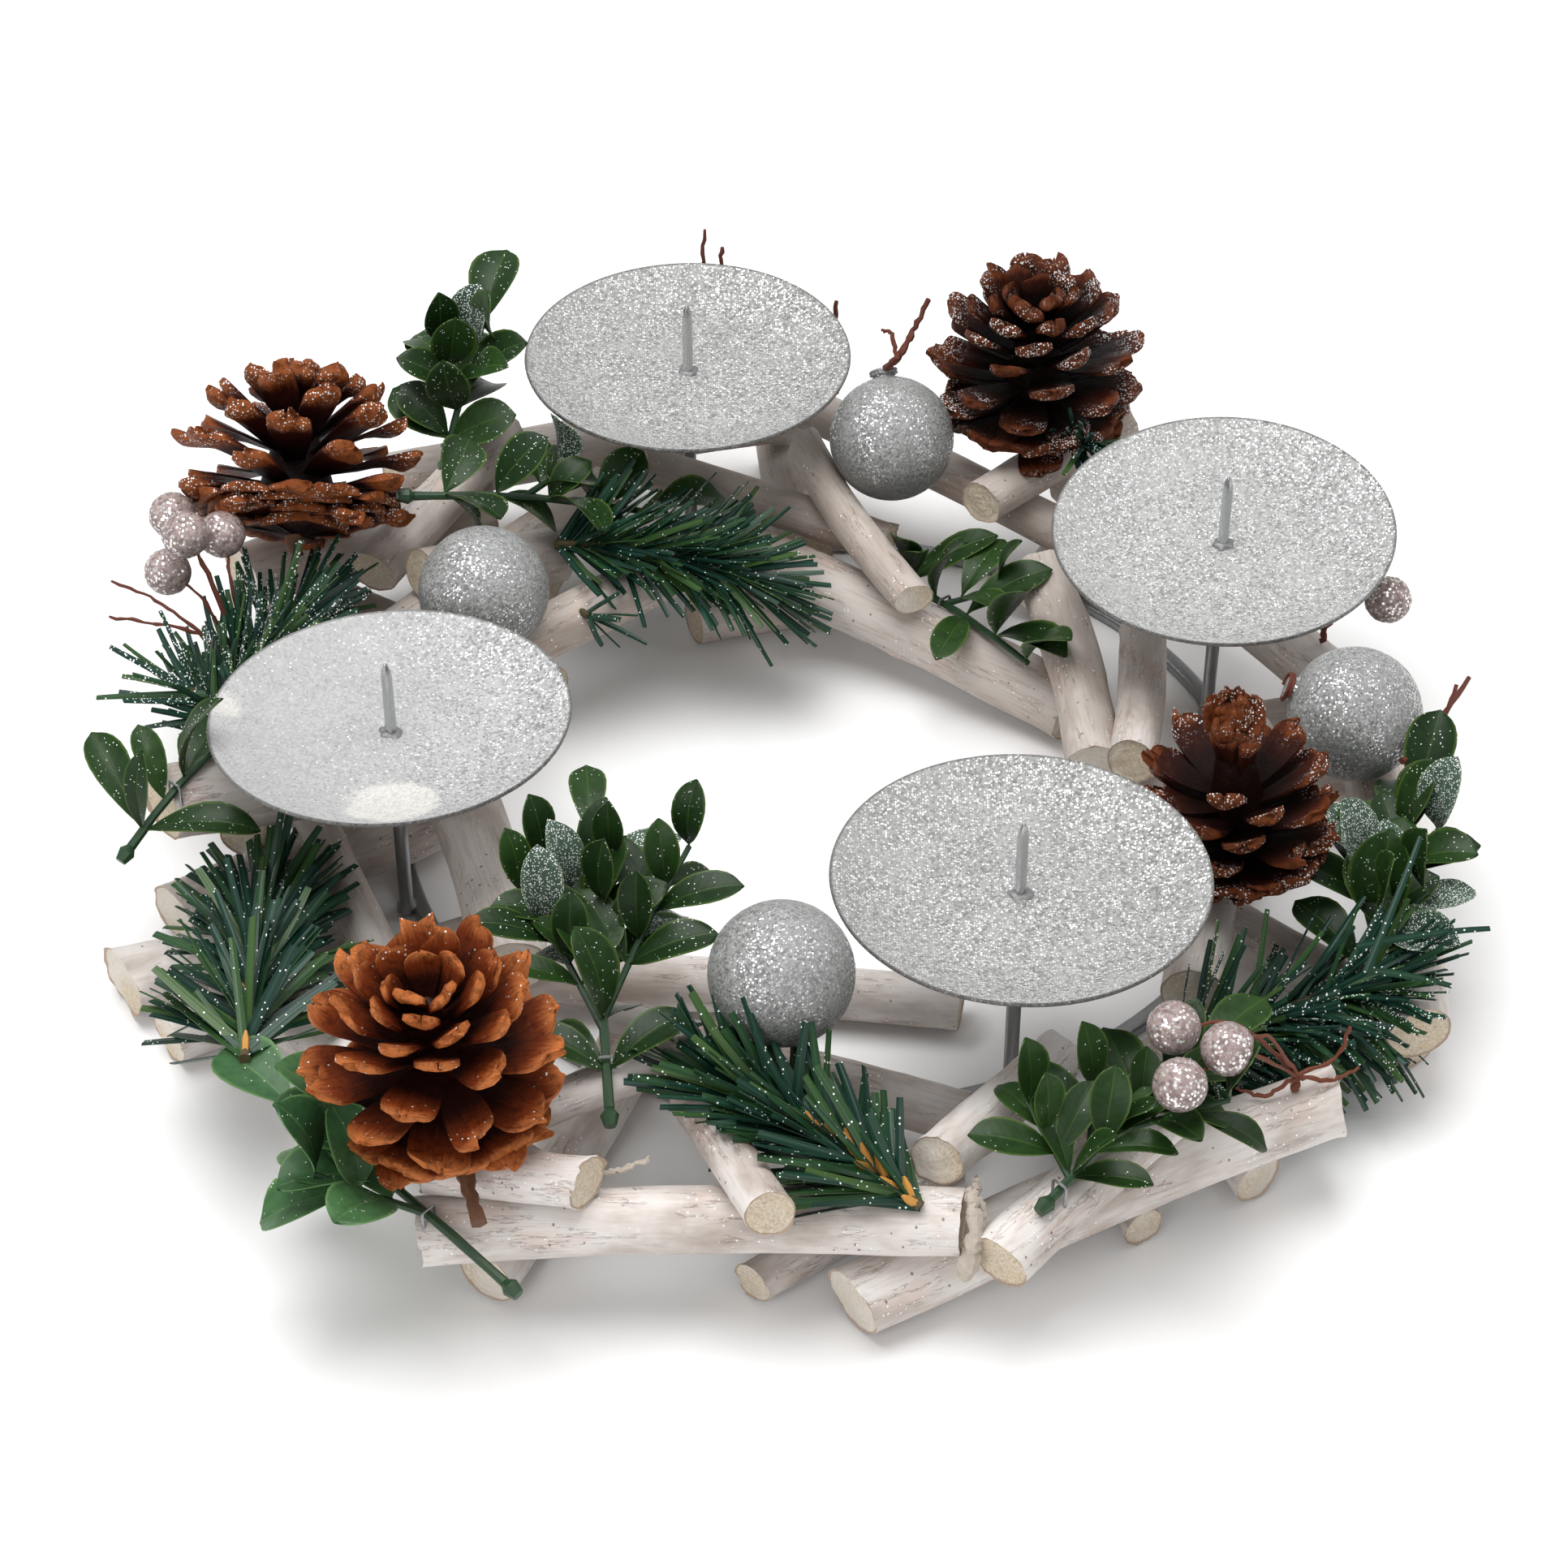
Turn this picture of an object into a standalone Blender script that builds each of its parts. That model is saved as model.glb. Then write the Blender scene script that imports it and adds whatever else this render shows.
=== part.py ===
"""Advent wreath of white-washed birch logs on a steel ring, with four candle dishes, pine cones,
glitter balls, boxwood and fir sprays and berry picks. Lengths are millimetres and angles are
degrees, and plan positions are (x, y) about the middle of the steel ring. Logs, cones, balls and
stems are dropped one after another onto what lies there already, as the real thing was built."""

import math
import random
from collections import namedtuple

import bpy
from mathutils import Matrix, Vector, geometry
from mathutils.bvhtree import BVHTree

MM = 0.001
GAP = 0.32  # clearance that neighbouring pieces keep
DROP_STEP = 1.5  # shorter than any log is thick, so that nothing drops through one
GOLDEN_ANGLE = 137.508

RING_RADIUS = 101.0
RING_WIDTH = 4.0
RING_HEIGHT = 2.5
RING_STEPS = 40

STEM_RADIUS = 1.6
COLLAR_RADIUS = 4.0
COLLAR_HEIGHT = 2.0
SPIKE_RADIUS = 1.3
SPIKE_TIP_RADIUS = 0.4
SPIKE_LENGTH = 20.0
SPIKE_POINT = 4.0
STEM_SIDES = 7

DISH_RADIUS = 40.0
DISH_FLAT_RADIUS = 23.0
DISH_RISE = 5.4
DISH_THICKNESS = 1.0
DISH_HOLE_RADIUS = 2.1
DISH_STEPS = 24

LOG_SIDES = 9
LOG_BAYS = 3
LOG_DROP_HEIGHT = 70.0
LOG_PITCHES = range(-11, 12)  # degrees
STEM_PITCHES = range(-16, 17, 4)
STEM_POINTS = 5

BALL_RADIUS = 15.3
BALL_NECK_RADIUS = 2.8
BALL_NECK_HEIGHT = 2.0
BALL_STEPS = 12

CONE_SCALES = 22
CONE_SCALE_WIDTH = 15.0
CONE_STALK_RADIUS = 1.8
CONE_STALK_LENGTH = 6.0

NEEDLE_WIDTH = 1.5
NEEDLE_CORE_RADIUS = 1.5
LEAF_STEM_RADIUS = 1.2
LEAF_THICKNESS = 0.8
LEAF_BREADTH = 0.64
BERRY_RADIUS = 5.5
GLUE_RADIUS = 3.0
WIRE_RADIUS = 0.8
WIRE_ARCH = 9.0

# Colour, roughness and metallic share of each material.
Finish = namedtuple("Finish", "colour roughness metallic")
FINISHES = {
    "steel": Finish((0.32, 0.31, 0.3), 0.45, 1.0),
    "bark": Finish((0.72, 0.68, 0.63), 0.85, 0.0),
    "silver": Finish((0.75, 0.75, 0.73), 0.35, 0.6),
    "glitter": Finish((0.6, 0.58, 0.55), 0.4, 0.5),
    "cone": Finish((0.3, 0.14, 0.06), 0.7, 0.0),
    "boxwood": Finish((0.06, 0.22, 0.05), 0.35, 0.0),
    "fir": Finish((0.05, 0.13, 0.06), 0.6, 0.0),
    "berry": Finish((0.62, 0.5, 0.46), 0.4, 0.3),
}

# Candle holders: azimuth and radius of the stem, height of the dish's floor, and how far the
# dish leans towards +X and +Y.
Holder = namedtuple("Holder", "name azimuth radius height lean_x lean_y")
HOLDERS = (
    Holder("back_left", 109.5, 102.5, 58.5, 0, 0),
    Holder("left", 200.5, 104, 54.5, -1, 4),
    Holder("front_right", 293, 100, 57.5, 0, 2),
    Holder("back_right", 19, 98, 54.5, -3, -4),
)

# Logs from the bottom of the heap to its top: the plan position of both ends, the diameter, the
# bow of the middle, the slant of the cut ends, and the log that it is glued to, if it shares
# that log's node.
Log = namedtuple("Log", "name start end diameter bow slant glued_to")
LOGS = (
    Log("log_back_inner_low", (-33, 63), (5, 73), 12, 0, 10, None),
    Log("log_back_right_inner", (-26, 73), (60, 25), 17, 2, 12, None),
    Log("log_front_inner", (-70, -66), (29, -73), 13, 1, 8, None),
    Log("log_front_stub", (-17, -154), (26, -120), 10, 0, 10, None),
    Log("log_front_right_stub", (65, -138), (54, -106), 9, 0, 8, None),
    Log("log_right_stub", (90, -126), (72, -88), 13, 0, 14, None),
    Log("log_left_front_stub", (-146, -84), (-72, -52), 13, 1, 15, None),
    Log("log_left_low", (-149, -47), (-86, -13), 17, 0, 12, None),
    Log("log_front_left_stub", (-44, -90), (-72, -154), 15, 1, 10, "log_front_outer"),
    Log("log_back_left_stub", (-66, 28), (-128, 72), 14, 1, 10, "log_left_back_outer"),
    Log("log_back_left_stub_outer", (-70, 74), (-108, 114), 14, 1, 8, "log_back_outer"),
    Log("log_back_stub", (-4, 84), (-12, 138), 13, 1, 8, "log_back_outer"),
    Log("log_back_right_stub", (52, 70), (84, 112), 14, 1, 8, "log_right_back_outer"),
    Log("log_right_dish_stub", (104, 22), (138, 30), 13, 0, 8, "log_right_back_outer"),
    Log("log_right_back_stub", (68, -11), (136, -4), 14, 1, 8, "log_right_outer"),
    Log("log_right_front_stub", (84, -46), (130, -86), 14, 1, 8, "log_right_outer"),
    Log("log_front_right_outer", (3, -162), (106, -119), 17, 2, 14, None),
    Log("log_front_outer", (-85, -155), (26, -156), 15, 2, 10, None),
    Log("log_back_left_inner", (-74, 30), (-22, 62), 14, 0, 12, None),
    Log("log_left_inner", (-92, -8), (-70, -77), 18, 2, 10, None),
    Log("log_left_outer", (-158, -68), (-109, -52), 16, 0, 18, None),
    Log("log_left_side", (-132, -36), (-134, 62), 14, 2, 8, "log_left_low"),
    Log("log_left_back_outer", (-144, 61), (-84, 90), 17, 0, 12, None),
    Log("log_back_outer", (-110, 100), (-6, 132), 15, 2, 10, None),
    Log("log_back_mid", (-6, 124), (66, 72), 12, 1, 8, None),
    Log("log_right_back_outer", (62, 102), (124, 16), 15, 1, 10, None),
    Log("log_right_outer", (126, -98), (124, 4), 15, -2, 12, None),
    Log("log_right_mid_low", (78, -86), (98, 0), 14, 1, 10, "log_right_outer"),
    Log("log_front_mid", (-50, -98), (28, -112), 12, 1, 8, "log_front_stub"),
    Log("log_front_left_outer", (-132, -80), (-64, -140), 14, 1, 8, "log_left_front_stub"),
    Log("log_right_inner", (52, 57), (62, -8), 14, 2, 10, None),
    Log("log_right_mid", (77, 44), (69, -20), 12, 1, 10, None),
    Log("log_back_right_top", (38, 72), (76, 106), 12, 1, 10, "log_right_back_outer"),
    Log("log_front_top", (20, -148), (48, -108), 12, 0, 10, None),
    Log("log_front_right_top", (32, -165), (72, -128), 14, 0, 12, None),
    Log("log_front_left_short", (-30, -125), (-13, -167), 11, 0, 10, None),
    Log("log_front_branch", (-85, -148), (-50, -155), 11, 0, 20, None),
    Log("log_front_left_top", (-73, -138), (-21, -120), 9, 1, 10, None),
    Log("log_left_top", (-118, -30), (-98, -76), 11, 0, 14, None),
    Log("log_back_left_top", (-111, 52), (-79, 98), 13, 0, 10, None),
    Log("log_back_left_inner_top", (-106, 36), (-56, 98), 12, 1, 10, None),
    Log("log_left_mid", (-98, 44), (-64, 63), 14, 0, 12, None),
    Log("log_back_inner_top", (-46, 88), (16, 72), 11, 1, 10, "log_back_right_inner"),
    Log("log_back_top", (-6, 92), (21, 42), 10, -2, 10, "log_back_right_inner"),
    Log("log_left_outer_top", (-149, -43), (-106, -30), 18, 0, 16, None),
)

# Balls: plan position, the height that the drop starts from, and where the neck points.
Ball = namedtuple("Ball", "name place height neck")
BALLS = (
    Ball("ball_left", (-81, 24), 62, (0.3, 0.5, -0.8)),
    Ball("ball_back", (16, 82), 53, (0.3, -0.5, 0.8)),
    Ball("ball_right", (119, -18), 60, (-0.9, 0.2, 0.3)),
    Ball("ball_front", (-11, -114), 50, (0.2, 0.6, -0.7)),
)

# Pine cones: plan position, the height that the drop starts from, the direction of the tip,
# the length and width over the scales, and how far the scales stand open, from 0 to 1.
Cone = namedtuple("Cone", "name place height tip length width openness")
CONES = (
    Cone("cone_front_left", (-80, -141), 70, (-0.05, -0.12, 1.0), 38, 55, 1.0),
    Cone("cone_left_back", (-127, 58), 72, (0.0, 0.75, 0.66), 36, 60, 1.0),
    Cone("cone_back_right", (52, 99), 74, (-0.05, 0.0, 1.0), 36, 56, 0.9),
    Cone("cone_right", (88, -54), 60, (-0.12, 0.1, 1.0), 44, 46, 0.6),
)

# Fir sprays: plan position of the core's ends, its arch, the number and length of its needles.
Fir = namedtuple("Fir", "name start end height arch needles length")
FIRS = (
    Fir("fir_front_left", (-122, -124), (-126, -58), 60, 3, 42, 27),
    Fir("fir_front", (17, -159), (-25, -127), 60, 3, 38, 22),
    Fir("fir_right", (72, -98), (118, -84), 56, 3, 38, 27),
    Fir("fir_back_left", (-66, 54), (-20, 45), 44, 3, 38, 24),
    Fir("fir_left", (-147, -8), (-127, 29), 42, 3, 32, 25),
)

# Boxwood sprays: plan position of the stem's ends, the drop's start, the stem's pitch where it
# stands up, the pairs of leaves and a leaf's length.
Boxwood = namedtuple("Boxwood", "name start end height pitch pairs length")
BOXWOODS = (
    Boxwood("boxwood_left_back", (-95, 78), (-84, 112), 70, 38, 4, 20),
    Boxwood("boxwood_back_left", (-100, 50), (-42, 66), 48, None, 4, 20),
    Boxwood("boxwood_back_right", (16, 67), (48, 26), 44, 6, 4, 19),
    Boxwood("boxwood_right", (113, -85), (132, -37), 60, None, 4, 20),
    Boxwood("boxwood_front_left", (-46, -139), (-52, -70), 70, 12, 5, 20),
    Boxwood("boxwood_front_left_outer", (-66, -172), (-112, -132), 38, 8, 4, 20),
    Boxwood("boxwood_front_right", (43, -158), (76, -124), 60, None, 4, 20),
    Boxwood("boxwood_left", (-154, -60), (-133, -32), 46, None, 2, 22),
)

# Berry picks: the foot of the wires, and the plan position and rise of each berry.
Pick = namedtuple("Pick", "name foot height berries")
PICKS = (
    Pick(
        "berries_left",
        (-137, 14),
        50,
        ((-155, 40, 30), (-149, 22, 38), (-142, 30, 32), (-155, 26, 24)),
    ),
    Pick(
        "berries_front_right",
        (96, -123),
        60,
        ((68, -133, 24), (78, -141, 26), (68, -149, 24)),
    ),
)


def turned(profile, steps, closed=False):
    """A body of revolution about Z. The profile is (radius, height) points that run up the
    outside; a radius of 0 is a pole, and a closed profile is a hollow ring's section."""
    points = []
    rows = []
    for radius, height in profile:
        if radius == 0:
            rows.append([len(points)])
            points.append(Vector((0, 0, height)))
            continue
        rows.append(list(range(len(points), len(points) + steps)))
        for step in range(steps):
            angle = math.tau * step / steps
            points.append(Vector((radius * math.cos(angle), radius * math.sin(angle), height)))
    pairs = list(zip(rows, rows[1:]))
    if closed:
        pairs.append((rows[-1], rows[0]))
    faces = []
    for lower, upper in pairs:
        for step in range(steps):
            after = (step + 1) % steps
            face = [lower[step % len(lower)], lower[after % len(lower)]]
            face += [upper[after % len(upper)], upper[step % len(upper)]]
            faces.append(list(dict.fromkeys(face)))
    return points, faces


def swept(path, radii, sides, flatness=1.0):
    """A tube along a path of points, with one radius for each; a last radius of 0 is a tip."""
    ahead = (path[-1] - path[0]).normalized()
    side = ahead.orthogonal().normalized()
    points = []
    rows = []
    for place, (centre, radius) in enumerate(zip(path, radii)):
        before = path[max(place - 1, 0)]
        after = path[min(place + 1, len(path) - 1)]
        along = (after - before).normalized()
        side = (side - along * side.dot(along)).normalized()
        across = along.cross(side)
        if radius == 0:
            rows.append([len(points)])
            points.append(centre.copy())
            continue
        rows.append(list(range(len(points), len(points) + sides)))
        for step in range(sides):
            angle = math.tau * step / sides
            offset = side * math.cos(angle) + across * math.sin(angle) * flatness
            points.append(centre + offset * radius)
    faces = [rows[0][::-1]]
    for lower, upper in zip(rows, rows[1:]):
        for step in range(sides):
            after = (step + 1) % sides
            face = [lower[step], lower[after], upper[after % len(upper)], upper[step % len(upper)]]
            faces.append(list(dict.fromkeys(face)))
    if len(rows[-1]) > 1:
        faces.append(rows[-1])
    return points, faces


def moved(shape, matrix):
    points, faces = shape
    return [matrix @ point for point in points], faces


def grown(shape, by):
    """The shape with every point pushed out along its normal."""
    points, faces = shape
    normals = [Vector() for _ in points]
    for face in faces:
        normal = geometry.normal([points[corner] for corner in face[:4]])
        for corner in face:
            normals[corner] += normal
    return [point + normal.normalized() * by for point, normal in zip(points, normals)], faces


class Heap:
    """Everything placed so far, which later pieces rest on and keep clear of."""

    def __init__(self):
        self.points = []
        self.faces = []
        self.tree = None

    def add(self, shape):
        points, faces = shape
        first = len(self.points)
        self.points += points
        self.faces += [[corner + first for corner in face] for face in faces]
        self.tree = BVHTree.FromPolygons(self.points, self.faces)

    def meets(self, shape, lift=0.0):
        points, faces = shape
        up = Vector((0, 0, lift))
        return bool(self.tree.overlap(BVHTree.FromPolygons([p + up for p in points], faces)))

    def resting_height(self, shape, start):
        """How far up the shape lies when it drops from start, with a gap to all it meets."""
        roomy = grown(shape, GAP)
        table = -min(point.z for point in roomy[0])

        def clear(lift):
            return lift >= table and not self.meets(roomy, lift)

        lift = max(start, table)
        while not clear(lift):
            lift += DROP_STEP
        while clear(lift - DROP_STEP):
            lift -= DROP_STEP
        blocked = lift - DROP_STEP
        while lift - blocked > 0.05:
            middle = (lift + blocked) / 2
            if clear(middle):
                lift = middle
            else:
                blocked = middle
        return lift

    def resting_place(self, shape, centre, yaw, start, pitches):
        """The matrix that drops a long shape at the pitch that brings its middle lowest."""
        best = None
        for pitch in pitches:
            turn = Matrix.Rotation(yaw, 4, "Z") @ Matrix.Rotation(math.radians(pitch), 4, "Y")
            place = Matrix.Translation((centre[0], centre[1], 0)) @ turn
            height = self.resting_height(moved(shape, place), start)
            if best is None or height < best[0]:
                best = (height, place)
                start = height + 4 * DROP_STEP
        return Matrix.Translation((0, 0, best[0])) @ best[1]


def material(name):
    made = bpy.data.materials.get(name)
    if made is None:
        made = bpy.data.materials.new(name)
        made.use_nodes = True
        shader = made.node_tree.nodes["Principled BSDF"]
        finish = FINISHES[name]
        shader.inputs["Base Color"].default_value = (*finish.colour, 1)
        shader.inputs["Roughness"].default_value = finish.roughness
        shader.inputs["Metallic"].default_value = finish.metallic
    return made


def model(name, shape, finish=None, matrix=None, smooth_below=35):
    """An object of the shape in metres, placed by the matrix, whose offset is millimetres."""
    points, faces = shape
    mesh = bpy.data.meshes.new(name)
    mesh.from_pydata([point * MM for point in points], [], faces)
    mesh.shade_smooth()
    mesh.set_sharp_from_angle(angle=math.radians(smooth_below))
    if finish:
        mesh.materials.append(material(finish))
    piece = bpy.data.objects.new(name, mesh)
    bpy.context.scene.collection.objects.link(piece)
    if matrix is not None:
        piece.location = matrix.translation * MM
        piece.rotation_euler = matrix.to_euler()
    return piece


def largest_body(mesh):
    """The points and faces, in millimetres, of the mesh's largest connected body."""
    parent = list(range(len(mesh.vertices)))

    def root(index):
        while parent[index] != index:
            parent[index] = parent[parent[index]]
            index = parent[index]
        return index

    for edge in mesh.edges:
        parent[root(edge.vertices[0])] = root(edge.vertices[1])
    bodies = {}
    for index in range(len(mesh.vertices)):
        bodies.setdefault(root(index), []).append(index)

    def extent(body):
        xs = [mesh.vertices[index].co.x for index in body]
        ys = [mesh.vertices[index].co.y for index in body]
        return max(xs) - min(xs) + max(ys) - min(ys)

    kept = {old: new for new, old in enumerate(max(bodies.values(), key=extent))}
    points = [mesh.vertices[old].co / MM for old in kept]
    faces = []
    for polygon in mesh.polygons:
        if polygon.vertices[0] in kept:
            faces.append([kept[corner] for corner in polygon.vertices])
    return points, faces


def fused(name, core, repeats):
    """The core and its repeats joined by one union into one closed body."""
    base = model(name + "_core", core)
    collection = bpy.data.collections.new(name + "_repeats")
    helpers = []
    for number, shape in enumerate(repeats):
        helper = model(f"{name}_repeat_{number}", shape)
        bpy.context.scene.collection.objects.unlink(helper)
        collection.objects.link(helper)
        helpers.append(helper)
    union = base.modifiers.new("fuse", "BOOLEAN")
    union.operation = "UNION"
    union.operand_type = "COLLECTION"
    union.solver = "MANIFOLD"
    union.collection = collection
    graph = bpy.context.evaluated_depsgraph_get()
    joined = bpy.data.meshes.new_from_object(base.evaluated_get(graph))
    shape = largest_body(joined)
    bpy.data.meshes.remove(joined)
    for helper in (*helpers, base):
        mesh = helper.data
        bpy.data.objects.remove(helper)
        bpy.data.meshes.remove(mesh)
    bpy.data.collections.remove(collection)
    return shape


def polar(azimuth, radius):
    angle = math.radians(azimuth)
    return Vector((radius * math.cos(angle), radius * math.sin(angle), 0))


def frame_shape():
    """The steel ring with its four stems, each with a collar under its dish and a spike."""
    inner = RING_RADIUS - RING_WIDTH / 2
    outer = RING_RADIUS + RING_WIDTH / 2
    section = ((outer, 0), (outer, RING_HEIGHT), (inner, RING_HEIGHT), (inner, 0))
    ring = turned(section, RING_STEPS, closed=True)
    holders = []
    for holder in HOLDERS:
        seat = holder.height - DISH_THICKNESS - seat_slack(holder)
        tip = holder.height + SPIKE_LENGTH
        profile = (
            (0, RING_HEIGHT / 2),
            (STEM_RADIUS, RING_HEIGHT / 2),
            (STEM_RADIUS, seat - COLLAR_HEIGHT - COLLAR_RADIUS / 2),
            (COLLAR_RADIUS, seat - COLLAR_HEIGHT),
            (COLLAR_RADIUS, seat),
            (SPIKE_RADIUS, seat),
            (SPIKE_RADIUS, tip - SPIKE_POINT),
            (SPIKE_TIP_RADIUS, tip),
            (0, tip),
        )
        place = Matrix.Translation(polar(holder.azimuth, holder.radius))
        holders.append(moved(turned(profile, STEM_SIDES), place))
    return fused("frame", ring, holders)


def seat_slack(holder):
    """How far the collar stays below a dish that leans, so that its rim clears the dish."""
    lean = math.radians(math.hypot(holder.lean_x, holder.lean_y))
    return GAP + COLLAR_RADIUS * math.tan(lean)


def dish_shape():
    """A shallow dish with a flat floor round its spike hole and a rim that curves upwards."""
    upper = [(DISH_HOLE_RADIUS, 0), (DISH_FLAT_RADIUS, 0)]
    for share in (0.5, 1.0):
        radius = DISH_FLAT_RADIUS + (DISH_RADIUS - DISH_FLAT_RADIUS) * share
        upper.append((radius, DISH_RISE * share**1.6))
    lower = [(radius, height - DISH_THICKNESS) for radius, height in upper]
    section = lower + upper[::-1]
    return turned(section, DISH_STEPS, closed=True)


def dish_place(holder):
    lean = Matrix.Rotation(math.radians(holder.lean_x), 4, "Y")
    lean @= Matrix.Rotation(math.radians(-holder.lean_y), 4, "X")
    foot = polar(holder.azimuth, holder.radius)
    return Matrix.Translation(foot + Vector((0, 0, holder.height))) @ lean


def log_shape(log, length, rng):
    """A bowed, slightly uneven log along X with slanting cut ends."""
    slant = math.tan(math.radians(log.slant))
    points = []
    for bay in range(LOG_BAYS + 1):
        share = bay / LOG_BAYS
        radius = log.diameter / 2 * rng.uniform(0.93, 1.0)
        bow = log.bow * math.sin(math.pi * share)
        slope = slant * {0: -1, LOG_BAYS: 1}.get(bay, 0)
        for side in range(LOG_SIDES):
            angle = math.tau * side / LOG_SIDES
            across = radius * math.cos(angle)
            along = (share - 0.5) * length + slope * across
            points.append(Vector((along, across + bow, radius * math.sin(angle))))
    rows = [list(range(bay * LOG_SIDES, (bay + 1) * LOG_SIDES)) for bay in range(LOG_BAYS + 1)]
    faces = [rows[0][::-1], rows[-1]]
    for lower, upper in zip(rows, rows[1:]):
        for side in range(LOG_SIDES):
            after = (side + 1) % LOG_SIDES
            faces.append([lower[side], lower[after], upper[after], upper[side]])
    return points, faces


Laid = namedtuple("Laid", "log shape start end")


def lay_logs(heap, rng):
    """Every log dropped onto the heap in turn: its shape there and the ends of its axis."""
    laid = {}
    for log in LOGS:
        first = Vector((*log.start, 0))
        last = Vector((*log.end, 0))
        length = (last - first).length
        shape = log_shape(log, length, rng)
        yaw = math.atan2(last.y - first.y, last.x - first.x)
        middle = (first + last) / 2
        place = heap.resting_place(shape, middle, yaw, LOG_DROP_HEIGHT, LOG_PITCHES)
        shape = moved(shape, place)
        heap.add(shape)
        half = Vector((length / 2, 0, 0))
        laid[log.name] = Laid(log, shape, place @ -half, place @ half)
    return laid


def glued_logs(log, laid):
    """The log with all that are glued to it, joined by a drop of glue where two logs cross."""
    group = [laid[log.name]]
    drops = []
    for other in laid.values():
        if other.log.glued_to != log.name:
            continue
        near, gap = min((crossing(other, member) for member in group), key=lambda pair: pair[1])
        drops.append(moved(turned(round_profile(GLUE_RADIUS, 4), 6), Matrix.Translation(near)))
        group.append(other)
    if not drops:
        return None
    return fused(log.name, group[0].shape, [member.shape for member in group[1:]] + drops)


def crossing(one, other):
    """Where the surfaces of two logs come nearest to each other, and their axes' distance."""
    best = None
    for step in range(41):
        along = one.start.lerp(one.end, step / 40)
        share = geometry.intersect_point_line(along, other.start, other.end)[1]
        across = other.start.lerp(other.end, min(max(share, 0), 1))
        distance = (along - across).length
        if best is None or distance < best[1]:
            share = one.log.diameter / (one.log.diameter + other.log.diameter)
            best = (along.lerp(across, share), distance)
    return best


def round_profile(radius, rings):
    """A sphere's profile from its lower pole to its upper one."""
    profile = [(0, -radius)]
    for ring in range(1, rings):
        angle = math.radians(-90 + 180 * ring / rings)
        profile.append((radius * math.cos(angle), radius * math.sin(angle)))
    return profile + [(0, radius)]


def ball_shape():
    """A ball with a short neck on top, which holds its wire."""
    profile = round_profile(BALL_RADIUS, BALL_STEPS // 2)[:-1]
    foot = math.sqrt(BALL_RADIUS**2 - BALL_NECK_RADIUS**2)
    profile.append((BALL_NECK_RADIUS, foot))
    profile.append((BALL_NECK_RADIUS, foot + BALL_NECK_HEIGHT))
    profile.append((0, foot + BALL_NECK_HEIGHT))
    return turned(profile, BALL_STEPS)


def cone_scale(root, outward, up, length, width):
    """One woody scale: a thin root, a broad shoulder and a blunt, thicker tip."""
    across = outward.cross(up).normalized()
    rise = across.cross(outward).normalized()
    points = []
    for share, breadth, depth in ((0, 0.3, 1.2), (0.76, 1.0, 1.8), (1.0, 0.5, 2.6)):
        centre = root + outward * length * share
        for side, level in ((-1, -1), (1, -1), (1, 1), (-1, 1)):
            points.append(centre + across * side * breadth * width / 2 + rise * level * depth / 2)
    faces = [[0, 1, 2, 3], [11, 10, 9, 8]]
    for row in (0, 4):
        for side in range(4):
            after = (side + 1) % 4
            faces.append([row + after, row + side, row + side + 4, row + after + 4])
    return points, faces


def cone_shape(cone):
    """A pine cone along Z from its stalk: scales on a spiral round a slim tapering core."""
    half = cone.width / 2
    core_radius = half * 0.3
    core = turned(
        (
            (0, -CONE_STALK_LENGTH),
            (CONE_STALK_RADIUS, -CONE_STALK_LENGTH),
            (CONE_STALK_RADIUS, 0),
            (core_radius * 0.8, 2),
            (core_radius, cone.length * 0.3),
            (core_radius * 0.5, cone.length * 0.75),
            (0, cone.length * 0.92),
        ),
        10,
    )
    scales = []
    for number in range(CONE_SCALES):
        share = number / (CONE_SCALES - 1)
        angle = math.radians(GOLDEN_ANGLE * number)
        level = cone.length * (0.08 + 0.72 * share**0.9)
        body = math.sin(math.pi * min(0.28 + 0.62 * share, 1)) ** 0.8
        tilt = math.radians(-12 + 30 * (1 - cone.openness) + (88 - 20 * cone.openness) * share)
        inset = core_radius * 0.35 * (1 - 0.6 * share)
        root = Vector((inset * math.cos(angle), inset * math.sin(angle), level))
        outward = polar(math.degrees(angle), math.cos(tilt)) + Vector((0, 0, math.sin(tilt)))
        length = max(half * body - inset, half * 0.3)
        width = CONE_SCALE_WIDTH * (1 - 0.55 * share)
        scales.append(cone_scale(root, outward, Vector((0, 0, 1)), length, width))
    return fused(cone.name, core, scales)


def needle_shape(root, direction, length):
    return swept([root, root + direction * length], [NEEDLE_WIDTH / 2, 0], 3)


def leaf_shape(root, along, facing, length):
    """A boxwood leaf with a short stalk: a thin oval blade, hollow along its midrib."""
    across = along.cross(facing).normalized()
    facing = across.cross(along).normalized()
    half = length * LEAF_BREADTH / 2
    stalk = across * LEAF_STEM_RADIUS * 0.5
    top = [root - stalk, root + stalk]
    for share, breadth, rise in ((0.4, 1.0, 0.08), (0.76, 0.86, 0.05)):
        middle = root + (along * share + facing * rise) * length
        edge = across * half * breadth
        trough = facing * half * 0.2
        top += [middle - edge + trough, middle, middle + edge + trough]
    top.append(root + (along - facing * 0.06) * length)
    count = len(top)
    blade = [[0, 3, 2], [0, 1, 3], [1, 4, 3]]
    blade += [[2, 3, 6], [2, 6, 5], [3, 4, 6], [4, 7, 6], [5, 6, 8], [6, 7, 8]]
    rim = (0, 1, 4, 7, 8, 5, 2)
    points = top + [point - facing * LEAF_THICKNESS for point in top]
    faces = blade + [[corner + count for corner in face[::-1]] for face in blade]
    for corner, after in zip(rim, rim[1:] + rim[:1]):
        faces.append([after, corner, corner + count, after + count])
    return points, faces


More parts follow.
